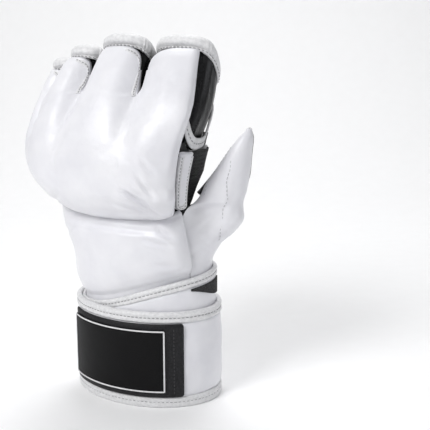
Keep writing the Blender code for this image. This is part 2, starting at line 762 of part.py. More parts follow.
def thumb_panel_point(share, z, inside):
    """A point of the thumb's white panel, which leaves the hand form to close round the thumb."""
    back_angle = THUMB_SEAM + (THUMB_WEB_EDGE - THUMB_SEAM) * smooth(z, PAD_BOTTOM, THUMB_CROTCH)
    angle = back_angle + SEAM_GAP + (THUMB_PALM_EDGE - back_angle - SEAM_GAP) * share
    on_hand = hand_point(angle, z, PANEL_OUTER - PANEL * inside)
    turn = thumb_back_turn(z) + (thumb_palm_turn(z) - thumb_back_turn(z)) * share
    back = smooth(z, (PAD_BOTTOM + THUMB_CROTCH) / 2, THUMB_CROTCH)
    rest = smooth(z, THUMB_FOOT, THUMB_CROTCH - 0.012)
    away = back + (rest - back) * smooth(share, 0.0, 0.4)
    return on_hand.lerp(thumb_point(turn, z, inside), away)


def thumb(collection):
    """White thumb panel from the cuff to the thumb's tip, and the black cloth that closes the stall."""
    tip = THUMB_FOOT + THUMB_RISE
    rows = [CUFF_LOW] + steps(THUMB_FOOT, PAD_BOTTOM, 5) + steps(PAD_BOTTOM, THUMB_SIDE_HEIGHT, 6)[1:]
    rows += steps(THUMB_SIDE_HEIGHT, tip, 6)[1:]
    shares = steps(0, 1, 13)
    grids = [[[thumb_panel_point(s, z, inside) for z in rows] for s in shares] for inside in (0, 1)]
    edge = [(far, near) for far, near in zip(grids[0][-1], grids[1][-1])
            if EDGE_TAPE_FOOT < near.z < THUMB_CROTCH]
    wall("thumb_panel", *grids, False, white_leather(), collection)
    edge_tape("thumb_binding", edge, 1, white_binding(), collection)
    rows = [z for z in rows if z > THUMB_CROTCH + 0.003]
    grids = [[], []]
    for share in steps(0, 1, 11):
        for grid, inside in zip(grids, (0, 1)):
            column = []
            for z in rows:
                first, last = thumb_palm_turn(z) - 360 + SEAM_TURN, thumb_back_turn(z) - SEAM_TURN
                column.append(thumb_point(first + (last - first) * share, z, inside))
            grid.append(column)
    wall("thumb_lining", *grids, False, black_cloth(), collection)


def stand_at_origin(collection):
    """Moves the glove sideways so that its box is centred over the origin."""
    corners = [vert.co for obj in collection.objects for vert in obj.data.vertices]
    middle = [(min(c[k] for c in corners) + max(c[k] for c in corners)) / 2 for k in (0, 1)]
    for obj in collection.objects:
        obj.data.transform(Matrix.Translation((-middle[0], -middle[1], 0)))


def main():
    clear_scene()
    collection = bpy.data.collections.new("grappling_glove")
    bpy.context.scene.collection.children.link(collection)
    wrist_strap(collection)
    wrist_wrap(collection)
    closure(collection)
    cuff_pad(collection)
    knuckle_pad(collection)
    for finger in FINGERS:
        finger_stall(finger, collection)
        if finger.open_side:
            side_band(finger, collection)
    palm_bars(collection)
    back_lining(collection)
    thumb_web(collection)
    palm_flap(collection)
    thumb(collection)
    stand_at_origin(collection)


main()
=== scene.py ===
"""A left-hand padded grappling glove of white and black synthetic leather, standing on its cuff."""

import json
import math
from collections import namedtuple
from functools import lru_cache

import bmesh
import bpy
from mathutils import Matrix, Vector, noise
from mathutils.kdtree import KDTree

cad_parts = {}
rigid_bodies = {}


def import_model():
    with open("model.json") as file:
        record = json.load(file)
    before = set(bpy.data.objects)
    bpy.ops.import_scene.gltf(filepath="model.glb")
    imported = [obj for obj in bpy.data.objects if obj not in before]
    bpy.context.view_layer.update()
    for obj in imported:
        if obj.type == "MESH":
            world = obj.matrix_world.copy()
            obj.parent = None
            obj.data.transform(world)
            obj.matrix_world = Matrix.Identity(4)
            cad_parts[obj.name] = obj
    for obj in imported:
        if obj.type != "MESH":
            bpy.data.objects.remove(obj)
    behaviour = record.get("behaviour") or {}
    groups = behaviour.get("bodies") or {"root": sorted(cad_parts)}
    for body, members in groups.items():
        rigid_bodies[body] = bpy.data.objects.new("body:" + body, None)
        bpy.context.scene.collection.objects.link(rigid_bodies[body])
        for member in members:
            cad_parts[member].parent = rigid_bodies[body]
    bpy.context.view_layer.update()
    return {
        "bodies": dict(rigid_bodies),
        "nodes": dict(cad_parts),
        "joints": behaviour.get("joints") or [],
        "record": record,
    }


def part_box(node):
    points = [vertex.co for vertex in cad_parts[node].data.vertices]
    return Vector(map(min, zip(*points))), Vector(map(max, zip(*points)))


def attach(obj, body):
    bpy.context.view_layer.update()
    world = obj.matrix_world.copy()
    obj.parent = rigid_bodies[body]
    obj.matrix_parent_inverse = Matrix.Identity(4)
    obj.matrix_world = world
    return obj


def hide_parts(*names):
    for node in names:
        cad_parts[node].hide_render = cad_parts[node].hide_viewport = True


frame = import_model()


# Back lining: one layer of black knitted cloth stretched over the back of the hand, under the
# pad. It is sewn in along the edges of the white leather, has one flat seam across the hand and
# is seen through the open palm.
GLOVE_HEIGHT = 0.270
HAND_HALF_WIDTH = 0.069
HAND_HALF_DEPTH = 0.030
LITTLE_SIDE_ARCH = 1.6
strap_low, strap_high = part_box("wrist_strap")
WRIST = Vector(((strap_low[0] + strap_high[0]) / 2, (strap_low[1] + strap_high[1]) / 2, 0))
Section = namedtuple("Section", "height shift_x shift_y half_width back palm squareness arch")
HAND_SECTIONS = (
    Section(0.00, 0.000, 0.00, 0.675, 1.02, 1.02, 2.0, 0.00),
    Section(0.28, 0.000, 0.00, 0.675, 1.02, 1.02, 2.0, 0.00),
    Section(0.37, 0.000, 0.00, 0.675, 1.02, 1.02, 2.0, 0.00),
    Section(0.50, -0.120, -0.03, 0.710, 0.94, 0.97, 2.3, 0.03),
    Section(0.61, -0.200, -0.02, 0.790, 0.88, 0.86, 2.9, 0.10),
    Section(0.72, -0.235, 0.06, 0.910, 0.82, 0.58, 4.0, 0.20),
    Section(0.80, -0.225, 0.20, 1.010, 0.76, 0.46, 5.0, 0.26),
    Section(0.90, -0.220, 0.44, 1.030, 0.74, 0.46, 5.0, 0.28),
    Section(1.00, -0.220, 0.70, 1.030, 0.72, 0.46, 5.0, 0.28),
)
GAP = 0.0004
LINING = 0.0016
LINING_EDGES = (0.83, -0.93)
LINING_HEIGHTS = (0.0960, 0.1955)
LINING_SEAM = 0.1410
LINING_SEAM_HALF = 0.0017
LINING_SEAM_RIDGE = 0.0011
# A ripple's wave length and height in metres, and a number that tells it from the others
LINING_RIPPLE = (0.030, 0.0004)
EDGE_ROUND = 0.4
SAME_POINT = 1e-6


def smooth(value, low, high):
    """0 below low, 1 above high and a smooth rise between them."""
    share = min(max((value - low) / (high - low), 0.0), 1.0)
    return share * share * (3 - 2 * share)


def steps(low, high, count):
    """count + 1 evenly spaced values from low to high."""
    return [low + (high - low) * k / count for k in range(count + 1)]


def sample(table, height):
    """A row of the table at a height between its rows, along a smooth curve through them."""
    kind = type(table[0])
    height = min(max(height, table[0].height), table[-1].height)
    at = max(k for k in range(len(table) - 1) if table[k].height <= height or k == 0)
    low, high = table[at], table[at + 1]
    before, after = table[max(at - 1, 0)], table[min(at + 2, len(table) - 1)]
    span = high.height - low.height
    t = (height - low.height) / span
    values = []
    for k in range(1, len(kind._fields)):
        turning_in = (low[k] - before[k]) * (high[k] - low[k]) <= 0
        turning_out = (high[k] - low[k]) * (after[k] - high[k]) <= 0
        slope_in = 0 if turning_in else (high[k] - before[k]) / (high.height - before.height) * span
        slope_out = 0 if turning_out else (after[k] - low[k]) / (after.height - low.height) * span
        values.append(
            low[k] * (2 * t**3 - 3 * t**2 + 1)
            + slope_in * (t**3 - 2 * t**2 + t)
            + high[k] * (3 * t**2 - 2 * t**3)
            + slope_out * (t**3 - t**2)
        )
    return kind(height, *values)


@lru_cache(maxsize=None)
def hand_section(z):
    """The hollow's cross-section at z, in metres."""
    row = sample(HAND_SECTIONS, z / GLOVE_HEIGHT)
    width, depth = HAND_HALF_WIDTH, HAND_HALF_DEPTH
    return Section(z, row.shift_x * width, row.shift_y * depth, row.half_width * width,
                   row.back * depth, row.palm * depth, row.squareness, row.arch * depth)


def arch_of(section, share):
    return section.arch * share * share * (LITTLE_SIDE_ARCH if share < 0 else 1.0)


def round_place(turn):
    """Across and deep on a circle at a turn in degrees."""
    return math.cos(math.radians(turn)), math.sin(math.radians(turn))


def hand_point(angle, z, offset):
    """A point outside the hand form, by its angle in degrees: 0 thumb side, 90 palm, 270 back."""
    section = hand_section(z)
    across, deep = round_place(angle)
    width = section.half_width + offset
    depth = (section.palm if deep > 0 else section.back) + offset
    power = section.squareness
    reach = (abs(across / width) ** power + abs(deep / depth) ** power) ** (-1 / power)
    y = section.shift_y + reach * deep + arch_of(section, reach * across / width)
    return WRIST + Vector((section.shift_x + reach * across, y, z))


def face_point(share, z, offset, side):
    """A point outside the form's back (side -1) or palm (side 1), by its share of the half width."""
    section = hand_section(z)
    width = section.half_width + offset
    depth = (section.palm if side > 0 else section.back) + offset
    fall = max(1 - abs(share) ** section.squareness, 0.0) ** (1 / section.squareness)
    y = section.shift_y + arch_of(section, share) + side * depth * fall
    return WRIST + Vector((section.shift_x + share * width, y, z))


def walls(columns, levels, place, outer, inner):
    """The outer and inner grids of a wall: levels gives a column's heights, place gives its points."""
    return [[[place(c, z, offset) for z in levels(c)] for c in columns] for offset in (outer, inner)]


def ripple(point, wave, height, seed=0.0):
    """Soft unevenness of worked leather: wave is its length and height its greatest rise."""
    return noise.noise(point / wave + Vector((seed, seed * 1.7, 0))) * height


def sew(name, points, faces, node, slot, finishes, inside=()):
    """Makes a sewn piece of points and faces. Faces listed in inside take the second finish."""
    data = bpy.data.meshes.new(name)
    data.from_pydata(points, [], faces)
    for number in inside:
        data.polygons[number].material_index = 1
    mesh_data = bmesh.new()
    mesh_data.from_mesh(data)
    bmesh.ops.remove_doubles(mesh_data, verts=mesh_data.verts, dist=SAME_POINT)
    bmesh.ops.recalc_face_normals(mesh_data, faces=mesh_data.faces)
    mesh_data.to_mesh(data)
    mesh_data.free()
    data.shade_smooth()
    for finish in finishes:
        data.materials.append(finish)
    piece = bpy.data.objects.new(name, data)
    bpy.context.scene.collection.objects.link(piece)
    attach(piece, "root")
    if node:
        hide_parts(node)
    return piece


def layer(name, outer, inner, closed, node, slot, finishes):
    """A wall between an outer and an inner grid of columns, rounded over at the columns' ends."""
    points, faces, inside = [], [], []
    rows = len(outer[0])
    for far, near in zip(outer, inner):
        ends = []
        for last, before in ((-1, -2), (0, 1)):
            proud = (far[last] - near[last]).length * EDGE_ROUND
            ends.append((far[last] + near[last]) / 2 + (far[last] - far[before]).normalized() * proud)
        points += far + ends[:1] + near[::-1] + ends[1:]
    ring = 2 * rows + 2
    columns = len(outer)
    for c in range(columns if closed else columns - 1):
        here, there = c * ring, (c + 1) % columns * ring
        for k in range(ring):
            after = (k + 1) % ring
            if rows < k < ring - 1:
                inside.append(len(faces))
            faces.append((here + k, here + after, there + after, there + k))
    if not closed:
        for here in (0, (columns - 1) * ring):
            for k in range(rows - 1):
                inside.append(len(faces))
                faces.append((here + k, here + k + 1, here + 2 * rows - k - 1, here + 2 * rows - k))
            faces.append((here + rows - 1, here + rows, here + rows + 1))
            faces.append((here, here + 2 * rows, here + ring - 1))
    return sew(name, points, faces, node, slot, finishes, inside if len(finishes) > 1 else ())


def finish_nodes(name, colour, roughness):
    """A new finish with its shader and its place coordinates, for the looks to be wired into."""
    made = bpy.data.materials.new(name)
    made.use_nodes = True
    tree = made.node_tree
    shader = tree.nodes["Principled BSDF"]
    shader.inputs["Base Color"].default_value = (*colour, 1.0)
    shader.inputs["Roughness"].default_value = roughness
    place = tree.nodes.new("ShaderNodeTexCoord")
    return made, tree, shader, place.outputs["Object"]


def pattern(tree, place, scale, detail=2.0, stretch=(1, 1, 1)):
    """A noise pattern's height, at a scale per metre, stretched along the axes."""
    mapping = tree.nodes.new("ShaderNodeMapping")
    mapping.inputs["Scale"].default_value = [scale * s for s in stretch]
    tree.links.new(place, mapping.inputs["Vector"])
    made = tree.nodes.new("ShaderNodeTexNoise")
    made.inputs["Scale"].default_value = 1.0
    made.inputs["Detail"].default_value = detail
    tree.links.new(mapping.outputs["Vector"], made.inputs["Vector"])
    return made.outputs["Fac"]


def ramp(tree, value, low, high, from_low=0.3, from_high=0.7):
    """The value brought to between low and high."""
    made = tree.nodes.new("ShaderNodeMapRange")
    made.inputs["From Min"].default_value = from_low
    made.inputs["From Max"].default_value = from_high
    made.inputs["To Min"].default_value = low
    made.inputs["To Max"].default_value = high
    tree.links.new(value, made.inputs["Value"])
    return made.outputs["Result"]


def tint(tree, shader, value, first, second):
    """Base colour that moves between two colours with the value."""
    made = tree.nodes.new("ShaderNodeMix")
    made.data_type = "RGBA"
    made.inputs["A"].default_value = (*first, 1.0)
    made.inputs["B"].default_value = (*second, 1.0)
    tree.links.new(value, made.inputs["Factor"])
    tree.links.new(made.outputs["Result"], shader.inputs["Base Color"])


def emboss(tree, shader, heights):
    """Bump of several patterns, each with its depth in metres."""
    normal = None
    for value, depth in heights:
        bump = tree.nodes.new("ShaderNodeBump")
        bump.inputs["Strength"].default_value = 1.0
        bump.inputs["Distance"].default_value = depth
        tree.links.new(value, bump.inputs["Height"])
        if normal:
            tree.links.new(normal, bump.inputs["Normal"])
        normal = bump.outputs["Normal"]
    tree.links.new(normal, shader.inputs["Normal"])


def grained(name, colour, roughness, grain, shades, bumps=(), worn=None, looks=()):
    """A finish whose colour and roughness follow one grain, with that grain and others embossed.

    A grain is a noise pattern's scale per metre, its detail and its stretch. Each bump is a grain,
    or None for the first one, and a depth in metres.
    """
    made, tree, shader, place = finish_nodes(name, colour, roughness)
    first = pattern(tree, place, *grain)
    tint(tree, shader, ramp(tree, first, 0, 1), *shades)
    if worn:
        other, smoothest, roughest = worn
        source = pattern(tree, place, *other) if other else first
        tree.links.new(ramp(tree, source, smoothest, roughest), shader.inputs["Roughness"])
    if bumps:
        emboss(tree, shader, [(pattern(tree, place, *other) if other else first, depth)
                              for other, depth in bumps])
    for socket, value in looks:
        shader.inputs[socket].default_value = value
    return made


def knit_rows(tree, place, direction, pitch):
    """Ribs of a knit or weave, a pitch apart, across one axis."""
    made = tree.nodes.new("ShaderNodeTexWave")
    made.wave_type = "BANDS"
    made.bands_direction = direction
    made.inputs["Scale"].default_value = math.tau / pitch / 20
    made.inputs["Distortion"].default_value = 0.6
    made.inputs["Detail Scale"].default_value = 2.0
    tree.links.new(place, made.inputs["Vector"])
    return made.outputs["Fac"]


def black_knit():
    made, tree, shader, place = finish_nodes("black_knit", (0.012, 0.012, 0.013), 0.82)
    cover = tree.nodes.new("ShaderNodeMath")
    cover.operation = "MULTIPLY"
    tree.links.new(knit_rows(tree, place, "Z", 0.0016), cover.inputs[0])
    tree.links.new(knit_rows(tree, place, "X", 0.0011), cover.inputs[1])
    tint(tree, shader, cover.outputs[0], (0.006, 0.006, 0.007), (0.034, 0.034, 0.036))
    emboss(tree, shader, [(cover.outputs[0], 0.0005), (pattern(tree, place, 260), 0.0006)])
    shader.inputs["Sheen Weight"].default_value = 0.25
    shader.inputs["Sheen Roughness"].default_value = 0.5
    return made


knit = black_knit()


def lining_place(share, z, offset):
    """A point of the lining. Its inner face sags a little, but not at the ridge of its seam."""
    if offset:
        return face_point(share, z, offset, -1)
    ridge = LINING_SEAM_RIDGE * math.exp(-((z - LINING_SEAM) / LINING_SEAM_HALF) ** 2)
    sag = ripple(face_point(share, z, 0.0, -1), *LINING_RIPPLE) - ridge
    return face_point(share, z, min(sag, 0.0), -1)


lining_levels = steps(*LINING_HEIGHTS, 60)
lining_walls = walls(steps(*LINING_EDGES, 60), lambda s: lining_levels, lining_place, LINING, 0.0)
layer("hand_lining", *lining_walls, False, "back_lining", "black_cloth", [knit])


# Finger stalls: four short tubes of glossy black synthetic leather, lined with black cloth, sewn
# to the pad's top edge behind and to the palm's hem in front. The leather is gathered at the
# seams, which leaves creases along each finger.
Finger = namedtuple("Finger", "name centre half_width rim_back rim_palm open_side")
FINGERS = (
    Finger("index", 0.635, 0.325, 0.962, 0.845, 1),
    Finger("middle", 0.000, 0.280, 0.966, 0.840, 0),
    Finger("ring", -0.490, 0.190, 0.935, 0.835, 0),
    Finger("little", -0.840, 0.150, 0.898, 0.832, -1),
)
PANEL = 0.0030
PANEL_INNER = LINING + 2 * GAP
PANEL_OUTER = PANEL_INNER + PANEL
STALL_WALL = 0.0016
STALL_SQUARENESS = 2.6
STALL_FOOT = 0.1975
STALL_BACK_FOOT = 0.2120
STALL_SIDE_FOOT = 0.1870
STALL_CREASE = 0.0013
# How fast the creases change round the finger, along it and from finger to finger
STALL_CREASE_TURNS = 3.2
STALL_CREASE_LENGTH = 0.9
STALL_CREASE_SEED = 9


gloss_black = grained(
    "black_gloss_leather", (0.012, 0.012, 0.013), 0.27, (150, 3.0, (1, 1, 0.16)),
    ((0.006, 0.006, 0.007), (0.014, 0.014, 0.015)),
    bumps=[(None, 0.0007), ((1500,), 0.00010)], worn=((90,), 0.20, 0.34),
    looks=[("Specular IOR Level", 0.30)])


def rim_height(finger, facing):
    """Height of a stall's slanted rim: facing is -1 at the back of the finger and 1 at its palm side."""
    back, palm = finger.rim_back * GLOVE_HEIGHT, finger.rim_palm * GLOVE_HEIGHT
    return (back + palm) / 2 + (palm - back) / 2 * facing


@lru_cache(maxsize=None)
def stall_place(finger, z):
    """Centre, half width and half depth of a finger stall that fills the form at z."""
    section = hand_section(z)
    middle = (face_point(finger.centre, z, 0, 1).y + face_point(finger.centre, z, PANEL_INNER, -1).y) / 2
    room = []
    for local in (-0.9, -0.75, -0.5, 0.0, 0.5, 0.75, 0.9):
        share = finger.centre + local * finger.half_width
        bulge = (1 - abs(local) ** STALL_SQUARENESS) ** (1 / STALL_SQUARENESS)
        room.append((face_point(share, z, 0, 1).y - middle) / bulge)
        room.append((middle - face_point(share, z, PANEL_INNER, -1).y) / bulge)
    x = WRIST.x + section.shift_x + finger.centre * section.half_width
    return Vector((x, middle, z)), finger.half_width * section.half_width, min(room) - 2 * GAP


def rounded(value):
    """A sine or cosine brought to the stalls' rounded square."""
    return math.copysign(abs(value) ** (2 / STALL_SQUARENESS), value)


def stall_point(finger, turn, z, offset):
    """A point outside a stall's wall: turn is 0 at the thumb side, 90 at the palm side."""
    centre, half_width, half_depth = stall_place(finger, z)
    across, deep = round_place(turn)
    x, y = (half_width + offset) * rounded(across), (half_depth + offset) * rounded(deep)
    return centre + Vector((x, y, 0))


def stall_foot(finger, turn):
    across, deep = round_place(turn)
    foot = STALL_FOOT + (STALL_BACK_FOOT - STALL_FOOT) * max(-deep, 0.0)
    return foot + (STALL_SIDE_FOOT - foot) * max(across * finger.open_side, 0.0) ** 2


def stall_crease(finger, turn, share):
    """Gathers that run along the finger and spread out from its two ends."""
    across, deep = round_place(turn)
    place = Vector((across * STALL_CREASE_TURNS, deep * STALL_CREASE_TURNS,
                    share * STALL_CREASE_LENGTH + finger.centre * STALL_CREASE_SEED))
    return noise.noise(place) * STALL_CREASE - STALL_CREASE * 0.5


for finger in FINGERS:
    stall_walls = [[], []]
    for turn in steps(0, 360, 96)[:-1]:
        levels = steps(stall_foot(finger, turn), rim_height(finger, rounded(round_place(turn)[1])), 20)
        for wall, offset in zip(stall_walls, (0.0, -STALL_WALL)):
            wall.append([stall_point(finger, turn, z, offset + stall_crease(finger, turn, s))
                         for z, s in zip(levels, steps(0, 1, 20))])
    layer(f"{finger.name}_stall_leather", *stall_walls, True, f"finger_stall_{finger.name}",
          "black_leather", [gloss_black, knit])


# Rim bindings: white synthetic leather tape folded over each stall's slanted edge. Its back half
# is a wide soft roll, and its lower lip is stitched flat through the stall.
RIM_HEIGHT = 0.0085
RIM_PALM = 0.0022
RIM_BACK = 0.0042
RIM_LAP = 0.18
RIM_TAPE_FOLD = 0.0006
# First and last of a rim's frames under the tape's lapped join, and how the join swells and puckers
RIM_JOIN = (129, 140)
RIM_JOIN_WIDER = 1.06
RIM_JOIN_THICKER = 1.12
RIM_JOIN_PUCKER = 0.05
THREAD = 0.00034
STITCH_PITCH = 0.0031
STITCH_SHARE = 0.66
# A stitch's sections, by place along it and girth, and the number of its sides
STITCH_SECTIONS = ((-0.5, 0.35), (-0.34, 1.0), (0.34, 1.0), (0.5, 0.35))
STITCH_SIDES = 6
# Small and broad puckers of a tape: wave length in metres, height as a share, and seed
PUCKERS = ((0.0042, 0.055, 3.0), (0.011, 0.05, 7.0))
# Section of a folded tape: across its width and out of its thickness, both as shares
Fold = namedtuple("Fold", "across out")
ROLLED_TAPE = (
    Fold(0.00, 0.30), Fold(0.01, 0.62), Fold(0.06, 0.78), Fold(0.13, 0.80), Fold(0.20, 0.60),
    Fold(0.26, 0.64), Fold(0.36, 0.92), Fold(0.55, 1.00), Fold(0.74, 0.97), Fold(0.90, 0.80),
    Fold(0.99, 0.52), Fold(0.99, 0.26), Fold(0.90, 0.06), Fold(0.70, 0.00), Fold(0.35, 0.00),
    Fold(0.08, 0.02),
)
FLAT_TAPE = (
    Fold(0.00, 0.30), Fold(0.02, 0.66), Fold(0.10, 0.90), Fold(0.24, 0.98), Fold(0.40, 0.93),
    Fold(0.50, 0.78), Fold(0.60, 0.93), Fold(0.76, 0.99), Fold(0.90, 0.90), Fold(0.98, 0.66),
    Fold(1.00, 0.30), Fold(0.94, 0.04), Fold(0.50, 0.00), Fold(0.06, 0.04),
)
ROLLED_SEAM = Fold(0.13, 0.82)
FLAT_SEAM = Fold(0.50, 0.82)


THREAD_GRAIN = (3000, 1.0)
tape_white = grained(
    "white_tape_leather", (0.74, 0.74, 0.75), 0.44, (420, 3.0), ((0.66, 0.66, 0.67), (0.80, 0.80, 0.81)),
    bumps=[(None, 0.0005), ((2200,), 0.00012)], worn=(None, 0.38, 0.55))
# The stitches' thread is white. Its mid grey colour is painted shade, standing in for the shadow the stitches
# lie in.
painted_shade_thread = grained(
    "white_thread", (0.34, 0.34, 0.35), 0.8, THREAD_GRAIN, ((0.24, 0.24, 0.25), (0.42, 0.42, 0.43)),
    bumps=[(None, 0.0002)])


def tape(name, frames, section, closed, node, finish=tape_white, slot="white_binding"):
    """A folded tape along frames of an edge point, a vector across and a vector out."""
    points, faces = [], []
    ring, columns = len(section), len(frames)
    for number, (edge, across, out) in enumerate(frames):
        for row in section:
            point = edge + across * row.across + out * row.out
            pucker = sum(ripple(point, *wave) for wave in PUCKERS)
            points.append(point + out * pucker * row.out)
    for c in range(columns if closed else columns - 1):
        here, there = c * ring, (c + 1) % columns * ring
        faces += [(here + k, here + (k + 1) % ring, there + (k + 1) % ring, there + k) for k in range(ring)]
    if not closed:
        faces += [tuple(range(ring)), tuple(range((columns - 1) * ring, columns * ring))]
    return sew(name, points, faces, node, slot, [finish])


def thread_run(name, path, closed, pitch=STITCH_PITCH, thread=painted_shade_thread, slot="white_binding"):
    """A row of stitches along a path of points, each with the direction out of the leather."""
    points, faces = [], []
    if closed:
        path = path + path[:1]
    travelled, wanted = 0.0, pitch / 2
    for (here, out), (there, _) in zip(path, path[1:]):
        span = (there - here).length
        if span < SAME_POINT:
            continue
        along = (there - here) / span
        up = out.normalized()
        side = along.cross(out).normalized()
        while wanted <= travelled + span:
            middle = here + along * (wanted - travelled) + up * THREAD * 0.25
            first = len(points)
            for share, girth in STITCH_SECTIONS:
                for turn in steps(0, math.tau, STITCH_SIDES)[:-1]:
                    spread = side * math.cos(turn) + up * math.sin(turn)
                    points.append(middle + along * share * pitch * STITCH_SHARE + spread * THREAD * girth)
            for ring in range(first, len(points) - STITCH_SIDES, STITCH_SIDES):
                for k in range(STITCH_SIDES):
                    a, b = ring + k, ring + (k + 1) % STITCH_SIDES
                    faces.append((a, b, b + STITCH_SIDES, a + STITCH_SIDES))
            faces += [tuple(range(first, first + STITCH_SIDES)),
                      tuple(range(len(points) - STITCH_SIDES, len(points)))]
            wanted += pitch
        travelled += span
    return sew(name, points, faces, None, slot, [thread])


def eased(frames, reach):
    """Frames with each vector averaged over its neighbours, so that a tape turns corners softly."""
    made = []
    for k in range(len(frames)):
        near = frames[max(k - reach, 0):k + reach + 1]
        made.append(tuple(sum((frame[part] for frame in near), Vector()) / len(near) if part
                          else frames[k][0] for part in range(3)))
    return made


def seam_path(frames, seam):
    """The stitches' path along a tape's frames, at one place of its section."""
    return [(edge + across * seam.across + out * seam.out, out) for edge, across, out in frames]


def stitched(name, frames, section, seam, closed, node, pitch=STITCH_PITCH):
    """A tape along the frames with its row of stitches."""
    tape(f"{name}_tape", frames, section, closed, node)
    thread_run(f"{name}_stitches", seam_path(frames, seam), closed, pitch)


def edging(columns, place, low, height, inner, outer):
    """Frames of a tape of one height over an edge: place gives a column's point at z and an offset."""
    frames = []
    for c in columns:
        edge = place(c, low(c), inner)
        frames.append((edge, place(c, low(c) + height, inner) - edge, place(c, low(c), outer(c)) - edge))
    return frames


def rim_frames(finger, count):
    frames = []
    for turn in steps(0, 360, count)[:-1]:
        deep = round_place(turn)[1]
        top = rim_height(finger, rounded(deep))
        proud = RIM_PALM * max(deep, 0.0) ** 2 + RIM_BACK * max(-deep, 0.0) ** 2
        edge = stall_point(finger, turn, top + GAP, -STALL_WALL)
        out = stall_point(finger, turn, top + GAP, proud + RIM_TAPE_FOLD) - edge
        across = stall_point(finger, turn, top + RIM_HEIGHT, 0) - stall_point(finger, turn, top, 0)
        lap = RIM_LAP * smooth(-deep, -0.2, 0.5)
        frames.append((edge - across * lap, across * (1 + lap), out * (1 + 2 * lap)))
    return frames


for finger in FINGERS:
    frames = rim_frames(finger, 150)
    stitched(f"{finger.name}_rim", frames, ROLLED_TAPE, ROLLED_SEAM, True, f"rim_binding_{finger.name}")
    join = []
    for number, (edge, across, out) in enumerate(frames[RIM_JOIN[0]:RIM_JOIN[1]]):
        fold = 1 + RIM_JOIN_PUCKER * math.sin(number * 1.9 + finger.centre * 5)
        edge -= across * 0.03 + out * 0.04
        join.append((edge, across * RIM_JOIN_WIDER, out * RIM_JOIN_THICKER * fold))
    tape(f"{finger.name}_rim_join", join, ROLLED_TAPE, False, f"rim_binding_{finger.name}")


# Knuckle pad: the thick foam pad over the back of the hand, covered in smooth white synthetic
# leather. Four lobes run up the fingers, parted by open slits with turned and stitched edges, and
# the leather wrinkles where the pad is pulled in towards the thumb.
PAD_THICKNESS = 0.0300
PAD_BOTTOM = 0.1390
PAD_THUMB_CORNER = 0.0090
PAD_LITTLE_CORNER = 0.0210
PAD_GROOVE = 0.0110
PAD_SLIT_FOOT = 0.2270
PAD_SLIT_HALF = 0.0020
PAD_EDGES = (0.81, -0.955)
PAD_ROUND = 0.0070
PAD_LEAST = 0.15
# Shares of the half width and heights over which the pad's inner face steps out over the gusset
PAD_STEP_SHARES = (0.50, 0.66)
PAD_STEP_HEIGHTS = (0.156, 0.166)
PAD_GROOVE_HEIGHTS = (0.178, 0.234)
PAD_GROOVE_SHARPNESS = 2.4
# How far the pad thins to the little finger's side, at its foot and more at its top, and to the thumb
PAD_LITTLE_THIN = (0.40, 0.48)
PAD_LITTLE_HEIGHTS = (0.165, 0.225)
PAD_THUMB_THIN = 0.62
PAD_EDGE_SHARE = 0.35
# Where the grooves between the lobes end before the pad's outer edges, and over how much they fade
PAD_GROOVE_EDGE = 0.93
PAD_GROOVE_FADE = 0.12
PAD_RIPPLES = ((0.034, 0.0011), (0.012, 0.00035, 5.0))
PAD_TOP_KEEP = 0.62
PAD_SLIT_KEEP = 0.45
PAD_SLIT_OPENS = 0.006
# Width of a lobe's rounding next to a slit, as a share of the pad's own
PAD_SLIT_ROUND = 0.6
FOOT_ROW = 84
TOP_ROWS = 34
LOBE_COLUMNS = 40
Profile = namedtuple("Profile", "height thickness")
PAD_PROFILE = (
    Profile(0.00, 0.20),
    Profile(0.03, 0.46),
    Profile(0.08, 0.68),
    Profile(0.17, 0.88),
    Profile(0.30, 0.99),
    Profile(0.44, 1.00),
    Profile(0.58, 0.92),
    Profile(0.72, 0.76),
    Profile(0.84, 0.58),
    Profile(0.94, 0.42),
    Profile(1.00, 0.34),
)
# Creases, by place in mm from the wrist's axis, lean in degrees from upright, and size in mm
Crease = namedtuple("Crease", "x z lean length width depth")
PAD_CREASES = (
    Crease(27, 154, -40, 34, 1.7, 2.0),
    Crease(22, 160, -56, 26, 1.5, 1.5),
    Crease(31, 167, -26, 24, 1.5, 1.6),
    Crease(18, 150, -66, 30, 1.8, 1.3),
    Crease(32, 182, -34, 22, 1.8, 0.9),
    Crease(-6, 145, -86, 62, 2.4, 1.0),
    Crease(-52, 150, 62, 32, 2.4, 1.1),
    Crease(-72, 224, 10, 22, 1.5, 1.1),
    Crease(-67, 216, 26, 22, 1.5, 0.9),
    Crease(-71, 207, 40, 16, 1.4, 0.8),
)
# A crease's waviness, the height of its banks and their place from it in widths
CREASE_WAVES = 4.0
CREASE_BANKS = 0.4
CREASE_BANK_PLACE = 2.1
smooth_white = grained(
    "white_smooth_leather", (0.79, 0.79, 0.82), 0.36, (38, 3.0), ((0.735, 0.735, 0.775), (0.82, 0.82, 0.85)),
    bumps=[((70, 2.0), 0.0008), ((1300, 2.0), 0.00010)], worn=((120, 3.0), 0.30, 0.46),
    looks=[("Coat Weight", 0.12), ("Coat Roughness", 0.25)])


def creased(point, creases):
    """Depth in metres that the creases take out of the leather at a point, and push up beside it."""
    depth = 0.0
    x, z = (point.x - WRIST.x) * 1000, point.z * 1000
    for crease in creases:
        lean = math.radians(crease.lean)
        along = (x - crease.x) * math.sin(lean) + (z - crease.z) * math.cos(lean)
        across = (x - crease.x) * math.cos(lean) - (z - crease.z) * math.sin(lean)
        across += math.sin(along / crease.length * CREASE_WAVES) * crease.width * 0.5
        fade = max(1 - (2 * along / crease.length) ** 2, 0.0)
        valley = math.exp(-(across / crease.width) ** 2)
        banks = CREASE_BANKS * math.exp(-(abs(across) / crease.width - CREASE_BANK_PLACE) ** 2)
        depth += crease.depth * fade * (valley - banks)
    return depth / 1000


def pad_low(share):
    corner = PAD_LITTLE_CORNER if share < 0 else PAD_THUMB_CORNER
    return PAD_BOTTOM + corner * abs(share) ** 4


